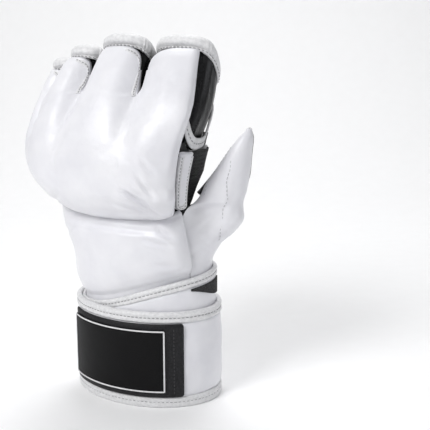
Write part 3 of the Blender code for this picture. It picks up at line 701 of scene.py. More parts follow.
def pad_crest(share):
    """Height of the fingers' rims behind, from finger to finger."""
    stops = [(finger.centre, finger.rim_back * GLOVE_HEIGHT) for finger in FINGERS]
    if share >= stops[0][0]:
        return stops[0][1]
    for (right, high), (left, low) in zip(stops, stops[1:]):
        if share >= left:
            return low + (high - low) * smooth(share, left, right)
    return stops[-1][1]


def pad_inner(share, z):
    step = smooth(share, *PAD_STEP_SHARES) * (1 - smooth(z, *PAD_STEP_HEIGHTS))
    return PANEL_INNER + (PANEL + GAP) * step


def pad_offset(share, z, local):
    """How far the pad's leather stands off the hand form: local is the place across its lobe."""
    height = (z - pad_low(share)) / (pad_crest(share) - pad_low(share))
    thickness = PAD_THICKNESS * sample(PAD_PROFILE, height).thickness
    if share < 0:
        foot, top = PAD_LITTLE_THIN
        thickness *= 1 - (foot + top * smooth(z, *PAD_LITTLE_HEIGHTS)) * abs(share) ** 3
    else:
        thickness *= 1 - PAD_THUMB_THIN * share**4
    valley = 0.5 - 0.5 * math.cos(math.pi * min(abs(local), 1.0) ** PAD_GROOVE_SHARPNESS)
    inward = smooth(PAD_GROOVE_EDGE - abs(share), 0.0, PAD_GROOVE_FADE)
    thickness -= PAD_GROOVE * valley * smooth(z, *PAD_GROOVE_HEIGHTS) * inward
    edge = min(PAD_EDGES[0] - share, share - PAD_EDGES[1]) * HAND_HALF_WIDTH
    rolled = PAD_EDGE_SHARE + (1 - PAD_EDGE_SHARE) * quarter_round(edge / PAD_ROUND)
    return pad_inner(share, z) + max(thickness, PAD_THICKNESS * PAD_LEAST) * rolled


def quarter_round(share):
    """Height of a quarter circle at a share of its width: 0 at 0 and 1 from 1 on."""
    return math.sqrt(1 - (1 - min(max(share, 0.0), 1.0)) ** 2)


def pad_point(share, z, local):
    """A point on the pad's leather, with its creases and soft unevenness."""
    offset = pad_offset(share, z, local)
    bare = face_point(share, z, offset, -1)
    relief = sum(ripple(bare, *wave) for wave in PAD_RIPPLES) - creased(bare, PAD_CREASES)
    return face_point(share, z, offset + relief, -1)


def lobe_columns(number):
    """Places across a lobe from its thumb-side boundary to its little-finger side."""
    finger = FINGERS[number]
    right, left = PAD_EDGES
    if number > 0:
        other = FINGERS[number - 1]
        right = (other.centre - other.half_width + finger.centre + finger.half_width) / 2
    if number + 1 < len(FINGERS):
        other = FINGERS[number + 1]
        left = (finger.centre - finger.half_width + other.centre + other.half_width) / 2
    return [right + (left - right) * (1 - math.cos(turn)) / 2 for turn in steps(0, math.pi, LOBE_COLUMNS)]


def slit_half(z, top):
    """Half the width of an open slit beside a lobe."""
    share = min(max((z - PAD_SLIT_FOOT) / (top - PAD_SLIT_FOOT), 0.0), 1.0)
    return PAD_SLIT_HALF * share**0.5 * (1.15 - 0.15 * share)


SIM_FRAMES = 18
SIM_PRESSURE = 4.0
SIM_SLACK = 0.005
SIM_QUALITY = 4
SIM_EASING = 4
PAD_CAP = 0.0050
# A point this near to a sewn one is held
HELD = 1e-5


def swell(piece, sewn, cap):
    """Lets the filling press the leather out as cloth held at its sewn points.

    The moves are averaged over neighbouring points a few times, and none is longer than the cap.
    """
    held = KDTree(len(sewn))
    for number, point in enumerate(sewn):
        held.insert(point, number)
    held.balance()
    mesh = piece.data
    before = [vertex.co.copy() for vertex in mesh.vertices]
    group = piece.vertex_groups.new(name="sewn")
    group.add([k for k, point in enumerate(before) if held.find(point)[2] < HELD], 1.0, "REPLACE")
    cloth = piece.modifiers.new("cloth", "CLOTH")
    cloth.settings.quality = SIM_QUALITY
    cloth.settings.use_pressure = True
    cloth.settings.uniform_pressure_force = SIM_PRESSURE
    cloth.settings.vertex_group_mass = "sewn"
    cloth.settings.shrink_min = -SIM_SLACK
    cloth.settings.effector_weights.gravity = 0
    cloth.collision_settings.use_collision = False
    for number in range(1, SIM_FRAMES + 1):
        bpy.context.scene.frame_set(number)
    settled = piece.evaluated_get(bpy.context.evaluated_depsgraph_get()).data
    moved = [vertex.co.copy() for vertex in settled.vertices]
    piece.modifiers.remove(cloth)
    piece.vertex_groups.remove(group)
    bpy.context.scene.frame_set(1)
    moves = [end - start for start, end in zip(before, moved)]
    for _ in range(SIM_EASING):
        sums = [[move.copy(), 1] for move in moves]
        for edge in mesh.edges:
            for one, other in (edge.vertices, reversed(edge.vertices)):
                sums[one][0] += moves[other]
                sums[one][1] += 1
        moves = [total / count for total, count in sums]
    for vertex, start, move in zip(mesh.vertices, before, moves):
        if held.find(start)[2] > HELD:
            vertex.co = start + move * min(1.0, cap / max(move.length, 1e-9))
    mesh.update()


points, faces = [], []
slit_edges = []
sewn_points = []
for number, finger in enumerate(FINGERS):
    columns = lobe_columns(number)
    first, last = columns[0], columns[-1]
    # Whether the pad's outer edge, and not a slit, is on the lobe's thumb side and on its other one
    open_first, open_last = number == 0, number == len(FINGERS) - 1
    lobe_out, lobe_in = [], []
    for share in columns:
        local = (share - finger.centre) / finger.half_width
        facing = -max(1 - min(abs(local), 1.0) ** STALL_SQUARENESS, 0.0) ** (1 / STALL_SQUARENESS)
        top = rim_height(finger, facing) - GAP
        levels = steps(pad_low(share), PAD_SLIT_FOOT, FOOT_ROW) + steps(PAD_SLIT_FOOT, top, TOP_ROWS)[1:]
        far, near = [], []
        for z in levels:
            slit = slit_half(z, top) / HAND_HALF_WIDTH
            low_side = last + (0 if open_last else slit)
            high_side = first - (0 if open_first else slit)
            at = low_side + (high_side - low_side) * (share - last) / (first - last)
            near_point = face_point(at, z, pad_inner(at, z), -1)
            over_top = min(max((z - (top - PAD_ROUND)) / PAD_ROUND, 0.0), 1.0)
            keep = PAD_TOP_KEEP + (1 - PAD_TOP_KEEP) * math.sqrt(1 - over_top**2)
            if z > PAD_SLIT_FOOT:
                edge = min(1 if open_first else high_side - at, 1 if open_last else at - low_side)
                side = quarter_round(edge * HAND_HALF_WIDTH / (PAD_ROUND * PAD_SLIT_ROUND))
                opening = smooth(z, PAD_SLIT_FOOT, PAD_SLIT_FOOT + PAD_SLIT_OPENS)
                keep *= 1 - opening * (1 - PAD_SLIT_KEEP) * (1 - side)
            far.append(near_point + (pad_point(at, z, local) - near_point) * keep)
            near.append(near_point)
        lobe_out.append(far)
        lobe_in.append(near)
    rows = len(levels)
    stride = 2 * rows
    base = len(points)
    for far, near in zip(lobe_out, lobe_in):
        points += far + near
        sewn_points += near + [far[0], far[-1]]
    for c in range(len(columns) - 1):
        here, there = base + c * stride, base + (c + 1) * stride
        for k in range(rows - 1):
            faces.append((here + k, there + k, there + k + 1, here + k + 1))
            faces.append((here + rows + k, here + rows + k + 1, there + rows + k + 1, there + rows + k))
        faces.append((here + rows - 1, there + rows - 1, there + 2 * rows - 1, here + 2 * rows - 1))
        faces.append((here, here + rows, there + rows, there))
    for column, outer_edge in ((0, open_first), (len(columns) - 1, open_last)):
        here = base + column * stride
        low_row = 0 if outer_edge else FOOT_ROW
        sewn_points += lobe_out[column][low_row:]
        for k in range(low_row, rows - 1):
            faces.append((here + k, here + k + 1, here + rows + k + 1, here + rows + k))
    if not open_first:
        # The tape's edge and the side it lies towards, up the slit and on along the lobe's top
        line = list(zip(lobe_out[3], lobe_out[8]))[FOOT_ROW - 1:-3]
        line += [(lobe_out[c][-2], lobe_out[c][-8]) for c in range(4, 17)]
        slit_edges.append((number, line))
knuckles = sew("knuckle_pad_leather", points, faces, "knuckle_pad", "white_leather", [smooth_white])
swell(knuckles, sewn_points, PAD_CAP)

SLIT_TAPE = 0.0030
SLIT_TAPE_RISE = 0.0007
SMALL_PITCH = 0.0024
for number, line in slit_edges:
    frames = []
    for (edge, beside), (higher, _) in zip(line, line[1:]):
        across = (beside - edge).normalized() * SLIT_TAPE
        out = (higher - edge).cross(across).normalized() * SLIT_TAPE_RISE
        out *= -math.copysign(1, out.y)
        frames.append((edge - out * 0.5, across, out * 1.5))
    frames = eased(frames, 5)
    tape(f"slit_tape_{number}", frames, FLAT_TAPE, False, "knuckle_pad", slot="white_leather")
    thread_run(f"slit_stitches_{number}", seam_path(frames, FLAT_SEAM), False, SMALL_PITCH,
               slot="white_leather")


# Side bands: white tape stitched over the lower edge of the index and little fingers' stalls,
# where their walls are open to the side. Each steps up where it reaches the palm.
BAND_HEIGHT = 0.0085
BAND = 0.0016
BAND_INNER = 2 * GAP
BAND_PALM_LOW = 0.2120
BAND_OVER_FOOT = 0.0006
BAND_STEP = (0.35, 0.85)
for finger, first, last in ((FINGERS[0], -56, 128), (FINGERS[-1], 212, 52)):
    def band_low(turn):
        foot = stall_foot(finger, turn) + BAND_OVER_FOOT
        return foot + (BAND_PALM_LOW - foot) * smooth(round_place(turn)[1], *BAND_STEP)

    frames = edging(steps(first, last, 90), lambda turn, z, offset: stall_point(finger, turn, z, offset),
                    band_low, BAND_HEIGHT, BAND_INNER, lambda turn: BAND_INNER + BAND)
    stitched(f"{finger.name}_side", frames, FLAT_TAPE, FLAT_SEAM, False, f"side_band_{finger.name}")


# Palm bars: the gathered white hem that closes the finger stalls in front, and under it the bound
# grip strip, black stretch cloth between two rows of stitches, that the fingers close on.
HEM_LOW = 0.1975
HEM_HEIGHT = 0.0090
HEM = 0.0030
GRIP_LOW = 0.1800
GRIP_BINDING_HEIGHT = 0.0085
GRIP_BINDING = 0.0034
GRIP_STRIP = 0.0014
BAR_EDGES = (0.88, -0.74)
HEM_EDGES = (0.66, -0.74)
# Frames from one gather to the next, and its depth as a share of the hem's thickness
HEM_GATHERS = (7, 0.16)


def palm_point(share, z, offset):
    return face_point(share, z, offset, 1)


def gathered(frames, pitch, depth):
    """Frames whose tape is drawn up in small folds across its length."""
    made = []
    for number, (edge, across, out) in enumerate(frames):
        fold = 1 - depth * (0.5 + 0.5 * math.sin(math.tau * number / pitch + math.sin(number * 0.37)))
        made.append((edge, across, out * fold))
    return made


hem_frames = edging(steps(*HEM_EDGES, 170), palm_point, lambda s: HEM_LOW, HEM_HEIGHT, 0.0, lambda s: HEM)
hem_frames = gathered(hem_frames, *HEM_GATHERS)
tape("finger_hem_tape", hem_frames, FLAT_TAPE, False, "finger_hem")
thread_run("hem_stitches", seam_path(hem_frames, FLAT_SEAM), False)
grip_frames = edging(steps(*BAR_EDGES, 110), palm_point, lambda s: GRIP_LOW, GRIP_BINDING_HEIGHT, 0.0,
                     lambda s: GRIP_BINDING)
stitched("grip", grip_frames, FLAT_TAPE, FLAT_SEAM, False, "grip_binding")
strip_levels = steps(GRIP_LOW + GRIP_BINDING_HEIGHT + GAP, HEM_LOW - GAP, 10)
strip_walls = walls(steps(*BAR_EDGES, 90), lambda s: strip_levels, palm_point, GRIP_STRIP, 0.0)
layer("grip_strip_cloth", *strip_walls, False, "grip_strip", "black_cloth", [knit])


# Thumb gusset: black ribbed mesh that stretches between the index knuckle and the thumb, and the
# white binding strip stitched down its edge at the back of the hand.
WEB_ARC = (334.5, 372)
WEB = 0.0012
WEB_TOP = 0.1840
WEB_BACK_LOW = 0.1415
WEB_PALM_LOW = 0.1700
WEB_TAPE_ARC = (337, 345.5)
WEB_TAPE_LOW = 0.1455
WEB_STRETCH = 0.0028
WEB_RISE_FROM = 344
MESH_HOLES = 1500
# The tab beside it, and the height of its face and of its tape over the lining
TAB_MIDDLE = sum(WEB_TAPE_ARC) / 2
TAB_HALF = (WEB_TAPE_ARC[1] - WEB_TAPE_ARC[0]) / 2
TAB_RADIUS = 0.0480
TAB_PUFF = 0.0016
TAB_PUFF_FADE = 0.006
TAB_TAPE = 0.0026
TAB_INNER = LINING + GAP
TAB_FACE = 0.0014
TAB_EDGE = 0.0008
TAB_SIDES = 0.96
TAB_OVER_WEB = 0.002
TAB_TAPE_TOP = 0.0030


def black_mesh():
    made, tree, shader, place = finish_nodes("black_ribbed_mesh", (0.010, 0.010, 0.011), 0.66)
    ribs = knit_rows(tree, place, "Z", 0.0030)
    holes = tree.nodes.new("ShaderNodeTexVoronoi")
    holes.inputs["Scale"].default_value = MESH_HOLES
    tree.links.new(place, holes.inputs["Vector"])
    tint(tree, shader, ramp(tree, holes.outputs["Distance"], 1, 0, 0.1, 0.6),
         (0.006, 0.006, 0.007), (0.040, 0.040, 0.043))
    emboss(tree, shader, [(ribs, 0.0010), (holes.outputs["Distance"], 0.0004)])
    return made


mesh_black = black_mesh()


def web_levels(angle):
    low = WEB_BACK_LOW + (WEB_PALM_LOW - WEB_BACK_LOW) * smooth(angle, WEB_RISE_FROM, WEB_ARC[1])
    return steps(low, WEB_TOP + WEB_STRETCH, 30)


web_walls = walls(steps(*WEB_ARC, 50), web_levels, hand_point, WEB, 0.0)
layer("thumb_gusset_mesh", *web_walls, False, "web_gusset", "black_cloth", [mesh_black])
half = math.radians(TAB_HALF) * TAB_RADIUS


def tab_point(across, z, offset):
    """A point on the tab between pad and gusset: across is -1 at the pad's side and 1 at the gusset."""
    return hand_point(TAB_MIDDLE + TAB_HALF * across, z, TAB_INNER + offset)


def tab_low(across):
    return WEB_TAPE_LOW + half * (1 - math.sqrt(1 - across * across))


def tab_face(across, z, offset):
    puff = (1 - across**4) * smooth(z, tab_low(across), tab_low(across) + TAB_PUFF_FADE)
    return tab_point(across, z, offset + TAB_PUFF * puff if offset else 0.0)


tab_walls = walls(steps(-TAB_SIDES, TAB_SIDES, 24), lambda a: steps(tab_low(a), WEB_TOP + TAB_OVER_WEB, 40),
                  tab_face, TAB_FACE, 0.0)
layer("thumb_crotch_tab", *tab_walls, False, "web_binding", "white_binding", [smooth_white, knit])
outline = [(-1, z, -1, 0) for z in steps(WEB_TOP, WEB_TAPE_LOW + half, 30)]
outline += [(-math.cos(t), WEB_TAPE_LOW + half - half * math.sin(t), -math.cos(t), -math.sin(t))
            for t in steps(0, math.pi, 16)[1:-1]]
outline += [(1, z, 1, 0) for z in steps(WEB_TAPE_LOW + half, WEB_TOP, 30)]
frames = []
for across, z, out_x, out_z in outline:
    edge = tab_point(across, z, TAB_EDGE)
    inward = tab_point(across - out_x * TAB_TAPE / half, z - out_z * TAB_TAPE, TAB_EDGE)
    frames.append((edge, inward - edge, tab_point(across, z, TAB_TAPE_TOP) - edge))
stitched("thumb_crotch", frames, FLAT_TAPE, FLAT_SEAM, False, "web_binding", SMALL_PITCH)


# Cuff pad: a softly filled panel of the same white leather over the back of the wrist. It lies
# flat under the strap and swells between the strap and the knuckle pad, with folds where it bends.
STRAP_TOP = 0.0730
WRAP_MEAN_TOP = 0.0860
WRAP_THUMB_RISE = 0.0130
WRAP_PALM_RISE = 0.0050
CUFF_LOW = 0.0040
CUFF_PAD = 0.0085
CUFF_PAD_CLEAR = 0.0025
THUMB_SEAM = 340
LITTLE_SEAM = 192
SEAM_GAP = 0.12
CUFF_PROFILE = (
    Profile(0.00, 0.00),
    Profile(0.08, 0.45),
    Profile(0.22, 0.85),
    Profile(0.45, 1.00),
    Profile(0.75, 0.90),
    Profile(0.92, 0.60),
    Profile(1.00, 0.25),
)
CUFF_CREASES = (
    Crease(-6, 133, -86, 96, 1.8, 1.5),
    Crease(30, 124, -62, 24, 1.8, 1.4),
    Crease(34, 131, -48, 20, 1.6, 1.2),
    Crease(-46, 128, 66, 26, 2.0, 1.0),
    Crease(36, 108, -74, 18, 2.0, 0.8),
)
CUFF_RIPPLE = (0.020, 0.0009, 2.0)
# Degrees over which the filling thins towards each side seam
CUFF_LITTLE_FADE = (-28, 26)
CUFF_THUMB_FADE = (-14, 16)


def wrap_top(angle):
    """The wrap's upper edge, higher at the thumb side and towards the palm."""
    turn = math.radians(angle)
    return WRAP_MEAN_TOP + WRAP_THUMB_RISE * math.cos(turn) + WRAP_PALM_RISE * math.sin(turn)


section = hand_section(PAD_BOTTOM)
cuff_walls = [[], []]
for angle in steps(LITTLE_SEAM + SEAM_GAP, THUMB_SEAM - SEAM_GAP, 110):
    share = (hand_point(angle, PAD_BOTTOM, 0).x - WRIST.x - section.shift_x) / section.half_width
    low, high = wrap_top(angle) + CUFF_PAD_CLEAR, pad_low(share) - GAP
    sides = smooth(angle - LITTLE_SEAM, *CUFF_LITTLE_FADE) * smooth(THUMB_SEAM - angle, *CUFF_THUMB_FADE)
    levels = steps(CUFF_LOW, low, 10) + steps(low, high, 56)[1:]
    far = []
    for z in levels:
        up = (z - low) / (high - low)
        thickness = CUFF_PAD * sample(CUFF_PROFILE, up).thickness * sides if up > 0 else 0.0
        bare = hand_point(angle, z, PANEL_OUTER + thickness)
        relief = (ripple(bare, *CUFF_RIPPLE) - creased(bare, CUFF_CREASES)) * smooth(up, 0.0, 0.25)
        far.append(hand_point(angle, z, PANEL_OUTER + max(thickness + relief, 0.0)))
    cuff_walls[0].append(far)
    cuff_walls[1].append([hand_point(angle, z, PANEL_INNER) for z in levels])
cuff = layer("cuff_pad_leather", *cuff_walls, False, "cuff_pad", "white_leather", [smooth_white, knit])


# Thumb: one white panel comes from the cuff, closes round the back of the thumb and is sewn to a
# black ribbed cloth on its palm side. A tape binds its edge at the open palm.
THUMB_FOOT = 0.1000
THUMB_RISE = 0.1030
THUMB_REACH = 0.0800
THUMB_HALF_WIDTH = 0.0215
THUMB_HALF_DEPTH = 0.0165
THUMB_TO_PALM = 0.0060
THUMB_WALL = 0.0030
THUMB_CROTCH = 0.1520
Stall = namedtuple("Stall", "height centre half_width half_depth")
THUMB_SECTIONS = (
    Stall(0.00, 0.68, 1.04, 1.00),
    Stall(0.32, 0.68, 1.04, 1.00),
    Stall(0.48, 0.69, 0.95, 0.97),
    Stall(0.56, 0.75, 0.83, 0.90),
    Stall(0.69, 0.835, 0.63, 0.80),
    Stall(0.84, 0.91, 0.40, 0.62),
    Stall(0.94, 0.965, 0.24, 0.42),
    Stall(1.00, 0.99, 0.09, 0.16),
)
THUMB_PALM_EDGE = 405
THUMB_WEB_EDGE = 347
THUMB_BACK_TURN = 210
THUMB_WEB_TURN = 240
THUMB_PALM_TURN = 460
THUMB_SIDE_TURN = 373
THUMB_SIDE_HEIGHT = 0.1710
SEAM_TURN = 3
EDGE_TAPE = 0.0062
EDGE_TAPE_FOOT = 0.1010
TAPE_PROUD = 0.0010
THUMB_RIPPLE = (0.022, 0.0008, 4.0)
THUMB_RELIEF_FROM = (0.104, 0.122)
THUMB_TIP = THUMB_FOOT + THUMB_RISE
THUMB_TIP_PLAIN = 0.02
THUMB_PITCH = 0.0030
LINING_OVER_CROTCH = 0.003
BACK_SEAM_SHARE = 0.055
THUMB_CREASES = (
    Crease(62, 122, 34, 30, 2.2, 0.8),
    Crease(56, 135, 52, 30, 2.2, 0.8),
    Crease(72, 138, 20, 24, 2.0, 0.6),
    Crease(48, 113, 70, 30, 2.4, 0.9),
    Crease(58, 108, 30, 24, 2.6, 1.4),
    Crease(74, 158, 16, 26, 2.0, 0.4),
)


def thumb_section(z):
    row = sample(THUMB_SECTIONS, (z - THUMB_FOOT) / THUMB_RISE)
    centre = WRIST + Vector((row.centre * THUMB_REACH, THUMB_TO_PALM * (0.8 + row.height), z))
    return centre, row.half_width * THUMB_HALF_WIDTH, row.half_depth * THUMB_HALF_DEPTH


def thumb_point(turn, z, inside):
    """A point of the thumb stall's wall: inside is 0 on its outer face and 1 on its inner one."""
    centre, half_width, half_depth = thumb_section(z)
    thinner = 1 - inside * min(THUMB_WALL / half_width, 0.6)
    across, deep = round_place(turn)
    return centre + Vector((across * half_width * thinner, deep * half_depth * thinner, 0))


def thumb_back_turn(z):
    """Turn round the thumb of the white panel's edge next to the hand."""
    clear = smooth(z, THUMB_CROTCH, THUMB_SIDE_HEIGHT)
    return THUMB_WEB_TURN + (THUMB_BACK_TURN - THUMB_WEB_TURN) * clear


def thumb_palm_turn(z):
    """Turn round the thumb of the white panel's palm edge, which climbs to the thumb's side."""
    side = smooth(z, THUMB_CROTCH, THUMB_SIDE_HEIGHT)
    return THUMB_PALM_TURN + (THUMB_SIDE_TURN - THUMB_PALM_TURN) * side


def thumb_panel_point(share, z, inside):
    """A point of the thumb's white panel, which leaves the hand form to close round the thumb."""
    back_angle = THUMB_SEAM + (THUMB_WEB_EDGE - THUMB_SEAM) * smooth(z, PAD_BOTTOM, THUMB_CROTCH)
    angle = back_angle + SEAM_GAP + (THUMB_PALM_EDGE - back_angle - SEAM_GAP) * share
    on_hand = hand_point(angle, z, PANEL_OUTER - PANEL * inside)
    turn = thumb_back_turn(z) + (thumb_palm_turn(z) - thumb_back_turn(z)) * share
    back = smooth(z, (PAD_BOTTOM + THUMB_CROTCH) / 2, THUMB_CROTCH)
    rest = smooth(z, THUMB_FOOT, THUMB_CROTCH - 0.012)
    away = back + (rest - back) * smooth(share, 0.0, 0.4)
    return on_hand.lerp(thumb_point(turn, z, inside), away)


levels = steps(CUFF_LOW, THUMB_FOOT, 14) + steps(THUMB_FOOT, THUMB_TIP, 96)[1:]
thumb_walls = walls(steps(0, 1, 84), lambda s: levels, thumb_panel_point, 0, 1)
for far, near in zip(*thumb_walls):
    for k, z in enumerate(levels):
        relief = ripple(far[k], *THUMB_RIPPLE) - creased(far[k], THUMB_CREASES)
        relief *= smooth(z, *THUMB_RELIEF_FROM) * smooth(THUMB_TIP - z, 0.0, THUMB_TIP_PLAIN)
        far[k] = far[k] + (far[k] - near[k]).normalized() * relief
layer("thumb_leather", *thumb_walls, False, "thumb_panel", "white_leather", [smooth_white, knit])


def thumb_cloth_point(share, z, inside):
    first, last = thumb_palm_turn(z) - 360 + SEAM_TURN, thumb_back_turn(z) - SEAM_TURN
    return thumb_point(first + (last - first) * share, z, inside)


cloth_levels = [z for z in levels if z > THUMB_CROTCH + LINING_OVER_CROTCH]
cloth_walls = walls(steps(0, 1, 60), lambda s: cloth_levels, thumb_cloth_point, 0, 1)
layer("thumb_palm_cloth", *cloth_walls, False, "thumb_lining", "black_cloth", [mesh_black])
soft_thread = grained("pale_thread", (0.56, 0.56, 0.58), 0.8, THREAD_GRAIN,
                      ((0.48, 0.48, 0.50), (0.64, 0.64, 0.66)))


def edge_frames(edge, side):
    """Frames of a tape along a panel's bound edge of outer and inner points, out to one side."""
    frames = []
    for k, (outer, inner) in enumerate(edge):
        along = edge[min(k + 1, len(edge) - 1)][1] - edge[max(k - 1, 0)][1]
        out = outer - inner
        across = side * along.cross(out).normalized()
        frames.append((inner + across * GAP, across * EDGE_TAPE, out + out.normalized() * TAPE_PROUD))
    return frames


thumb_edge = [(far, near) for far, near in zip(thumb_walls[0][-1], thumb_walls[1][-1])
              if EDGE_TAPE_FOOT < near.z < THUMB_CROTCH]
stitched("thumb_edge", edge_frames(thumb_edge, 1), FLAT_TAPE, FLAT_SEAM, False, "thumb_binding")
Seam = namedtuple("Seam", "height share")
THUMB_LINE = (
    Seam(0.122, 0.36),
    Seam(0.132, 0.32),
    Seam(0.146, 0.32),
    Seam(0.156, 0.32),
    Seam(0.164, 0.40),
    Seam(0.170, 0.45),
    Seam(0.176, 0.44),
    Seam(0.182, 0.38),
)
back_line = [(z, BACK_SEAM_SHARE) for z in steps(THUMB_CROTCH + LINING_OVER_CROTCH, THUMB_TIP - 0.012, 60)]
side_line = [(z, sample(THUMB_LINE, z).share) for z in steps(THUMB_LINE[0].height, THUMB_LINE[-1].height, 80)]
for name, line in (("back", back_line), ("side", side_line)):
    seam = []
    for z, share in line:
        far = thumb_panel_point(share, z, 0)
        seam.append((far, far - thumb_panel_point(share, z, 1)))
    thread_run(f"thumb_{name}_stitches", seam, False, THUMB_PITCH, soft_thread, "white_leather")


# Palm flap: white leather from the little-finger side over the heel of the palm. Its heel holds a
# quilted pad, parted by one sewn line, and its free edge has a wide double binding.
FLAP_TOP = 0.2110
Outline = namedtuple("Outline", "height free little_side")
FLAP_OUTLINE = (
    Outline(0.02, 50.0, 191.4),
    Outline(0.40, 50.0, 191.4),
    Outline(0.47, 54.0, 191.4),
    Outline(0.53, 70.0, 191.4),
    Outline(0.60, 86.0, 191.4),
    Outline(0.70, 91.0, 191.4),
    Outline(0.80, 94.0, 188.0),
    Outline(0.87, 99.0, 178.0),
    Outline(0.93, 116.0, 171.0),
    Outline(0.975, 131.0, 166.0),
    Outline(1.00, 143.0, 161.0),
)
FLAP_LIFT = 0.0046
FLAP_LIFT_FROM = 0.1660
FLAP_LIFT_TO = 0.1850
HEEL_PAD = 0.0095
HEEL_PAD_LOW = 0.1160
HEEL_PAD_ARC = (116, 180)
HEEL_SEAM = 0.1830
HEEL_SEAM_HALF = 0.0040
PALM_CREASES = (
    Crease(-6, 96, 78, 46, 2.4, 1.0),
    Crease(-10, 104, -80, 50, 2.4, 0.9),
    Crease(-28, 89, 70, 30, 2.2, 0.8),
    Crease(4, 112, 60, 26, 2.2, 0.8),
    Crease(-40, 101, 40, 30, 2.6, 0.8),
)
PALM_RIPPLE = (0.018, 0.0010, 6.0)
PALM_RELIEF_FROM = (0.092, 0.106)
PALM_RELIEF_EDGE = 0.08
HEEL_SEAM_SINKS = 0.72
FLAP_PLAIN_TO = 0.084
SECOND_TAPE = 0.0038
SECOND_TAPE_RISE = 0.0012


def heel_swell(angle, z):
    """Extra thickness of the padded heel, with a sharp sewn line and a stitched outline."""
    low, high = HEEL_PAD_ARC
    across = (angle - (low + high) / 2) / (high - low) * 2
    upward = (z - (HEEL_PAD_LOW + FLAP_TOP) / 2) / (FLAP_TOP - HEEL_PAD_LOW) * 2
    full = max(1 - abs(across) ** 4, 0.0) ** 0.8 * max(1 - abs(upward) ** 6, 0.0)
    seam = math.exp(-((z - HEEL_SEAM) / HEEL_SEAM_HALF) ** 2)
    return HEEL_PAD * full * (1 - HEEL_SEAM_SINKS * seam)


def flap_offset(angle, z):
    lift = FLAP_LIFT * smooth(z, FLAP_LIFT_FROM, FLAP_LIFT_TO)
    return PANEL_OUTER + lift + heel_swell(angle, z)


def flap_relief(angle, z):
    bare = hand_point(angle, z, flap_offset(angle, z))
    return ripple(bare, *PALM_RIPPLE) - creased(bare, PALM_CREASES)


def flap_point(across, z, inside):
    """A point of the flap: across is 0 at its free edge and 1 at the little finger's side."""
    free, little = sample(FLAP_OUTLINE, z / FLAP_TOP)[1:]
    angle = free + (little - free) * across
    if inside:
        return hand_point(angle, z, PANEL_INNER + FLAP_LIFT * smooth(z, FLAP_LIFT_FROM, FLAP_LIFT_TO))
    edges = smooth(across, 0.0, PALM_RELIEF_EDGE) * smooth(1 - across, 0.0, PALM_RELIEF_EDGE)
    relief = flap_relief(angle, z) * smooth(z, *PALM_RELIEF_FROM) * edges
    return hand_point(angle, z, flap_offset(angle, z) + relief)


levels = steps(CUFF_LOW, FLAP_PLAIN_TO, 8) + steps(FLAP_PLAIN_TO, FLAP_TOP, 110)[1:]
flap_walls = walls(steps(0, 1, 90), lambda a: levels, flap_point, 0, 1)
flap = layer("palm_flap_leather", *flap_walls, False, "palm_flap", "white_leather", [smooth_white, knit])

pairs = [list(zip(far, near)) for far, near in zip(*flap_walls)]
edge = [pair for pair in pairs[0] if pair[1].z > EDGE_TAPE_FOOT]
edge += [column[-1] for column in pairs[3::3]] + pairs[-1][-2:-16:-1]
stitched("flap_edge", edge_frames(edge, -1), FLAT_TAPE, FLAT_SEAM, False, "flap_binding")
frames = []
for k, z in enumerate(levels):
    if z > EDGE_TAPE_FOOT:
        far, near = flap_walls[0][0][k], flap_walls[1][0][k]
        across = (flap_walls[0][4][k] - far).normalized() * SECOND_TAPE
        out = (far - near).normalized() * SECOND_TAPE_RISE
        frames.append((far - out * 0.3, across, out * 1.3))
tape("flap_second_tape", eased(frames, 4), ROLLED_TAPE, False, "flap_binding")


def on_flap(angle, z):
    """A point on the flap's leather and the way out of it, by its angle round the hand."""
    point = hand_point(angle, z, flap_offset(angle, z) + flap_relief(angle, z))
    return point, hand_point(angle, z, 0.02) - hand_point(angle, z, 0.0)


# The outline stitched round the heel's pad: its sides, foot, top and rounded corners
HEEL_LINE_ARC = (117.5, 179.0)
HEEL_LINE_LOW = 0.1185
HEEL_LINE_TOP = 0.178
HEEL_CORNER = (7.0, 0.0085)
HEEL_SEAM_ARC = (106, 172)
first, last = HEEL_LINE_ARC
turn_in, turn_up = HEEL_CORNER
corner_top = HEEL_LINE_LOW + turn_up
bends = [(1 - math.cos(t), 1 - math.sin(t)) for t in steps(0, math.pi / 2, 12)[1:]]
heel_line = [(first, z) for z in steps(HEEL_LINE_TOP, corner_top, 40)]
heel_line += [(first + turn_in * a, HEEL_LINE_LOW + turn_up * b) for a, b in bends]
heel_line += [(a, HEEL_LINE_LOW) for a in steps(first + turn_in, last - turn_in, 50)[1:]]
heel_line += [(last - turn_in * b, HEEL_LINE_LOW + turn_up * a) for a, b in bends]
heel_line += [(last, z) for z in steps(corner_top, HEEL_LINE_TOP, 40)[1:]]
quilt_line = [(a, HEEL_SEAM) for a in steps(*HEEL_SEAM_ARC, 60)]
for name, line in (("outline", heel_line), ("line", quilt_line)):
    thread_run(f"heel_{name}_stitches", [on_flap(*place) for place in line], False, slot="white_leather")


# Wrist wrap: the strap's first turn round the wrist, one layer of white leather with a slanting
# bound edge, and a patch of black loop cloth sewn to it at the thumb side.
WRAP = 0.0025
WRAP_INNER = PANEL_OUTER + GAP
WRAP_OUTER = WRAP_INNER + WRAP
WRAP_LOW = 0.0060
WRAP_TAPE = 0.0070
LOOP_PATCH_ARC = (338, 372)
LOOP_PATCH_DROP = 0.0120
LOOP_PATCH_FADE = 8
LABEL = 0.0008
WRAP_RIPPLE = (0.012, 0.0006, 8.0)
WRAP_BARE_OVER = 0.006
# Heights over the strap between which the wrap's tape comes to stand proud
WRAP_TAPE_RISE = (-0.001, 0.004)
FULL_TURN = steps(0, 360, 180)[:-1]


def wrap_edge(angle):
    return wrap_top(angle) - WRAP_TAPE - GAP


def wrap_levels(angle):
    return steps(WRAP_LOW, wrap_edge(angle), 30)


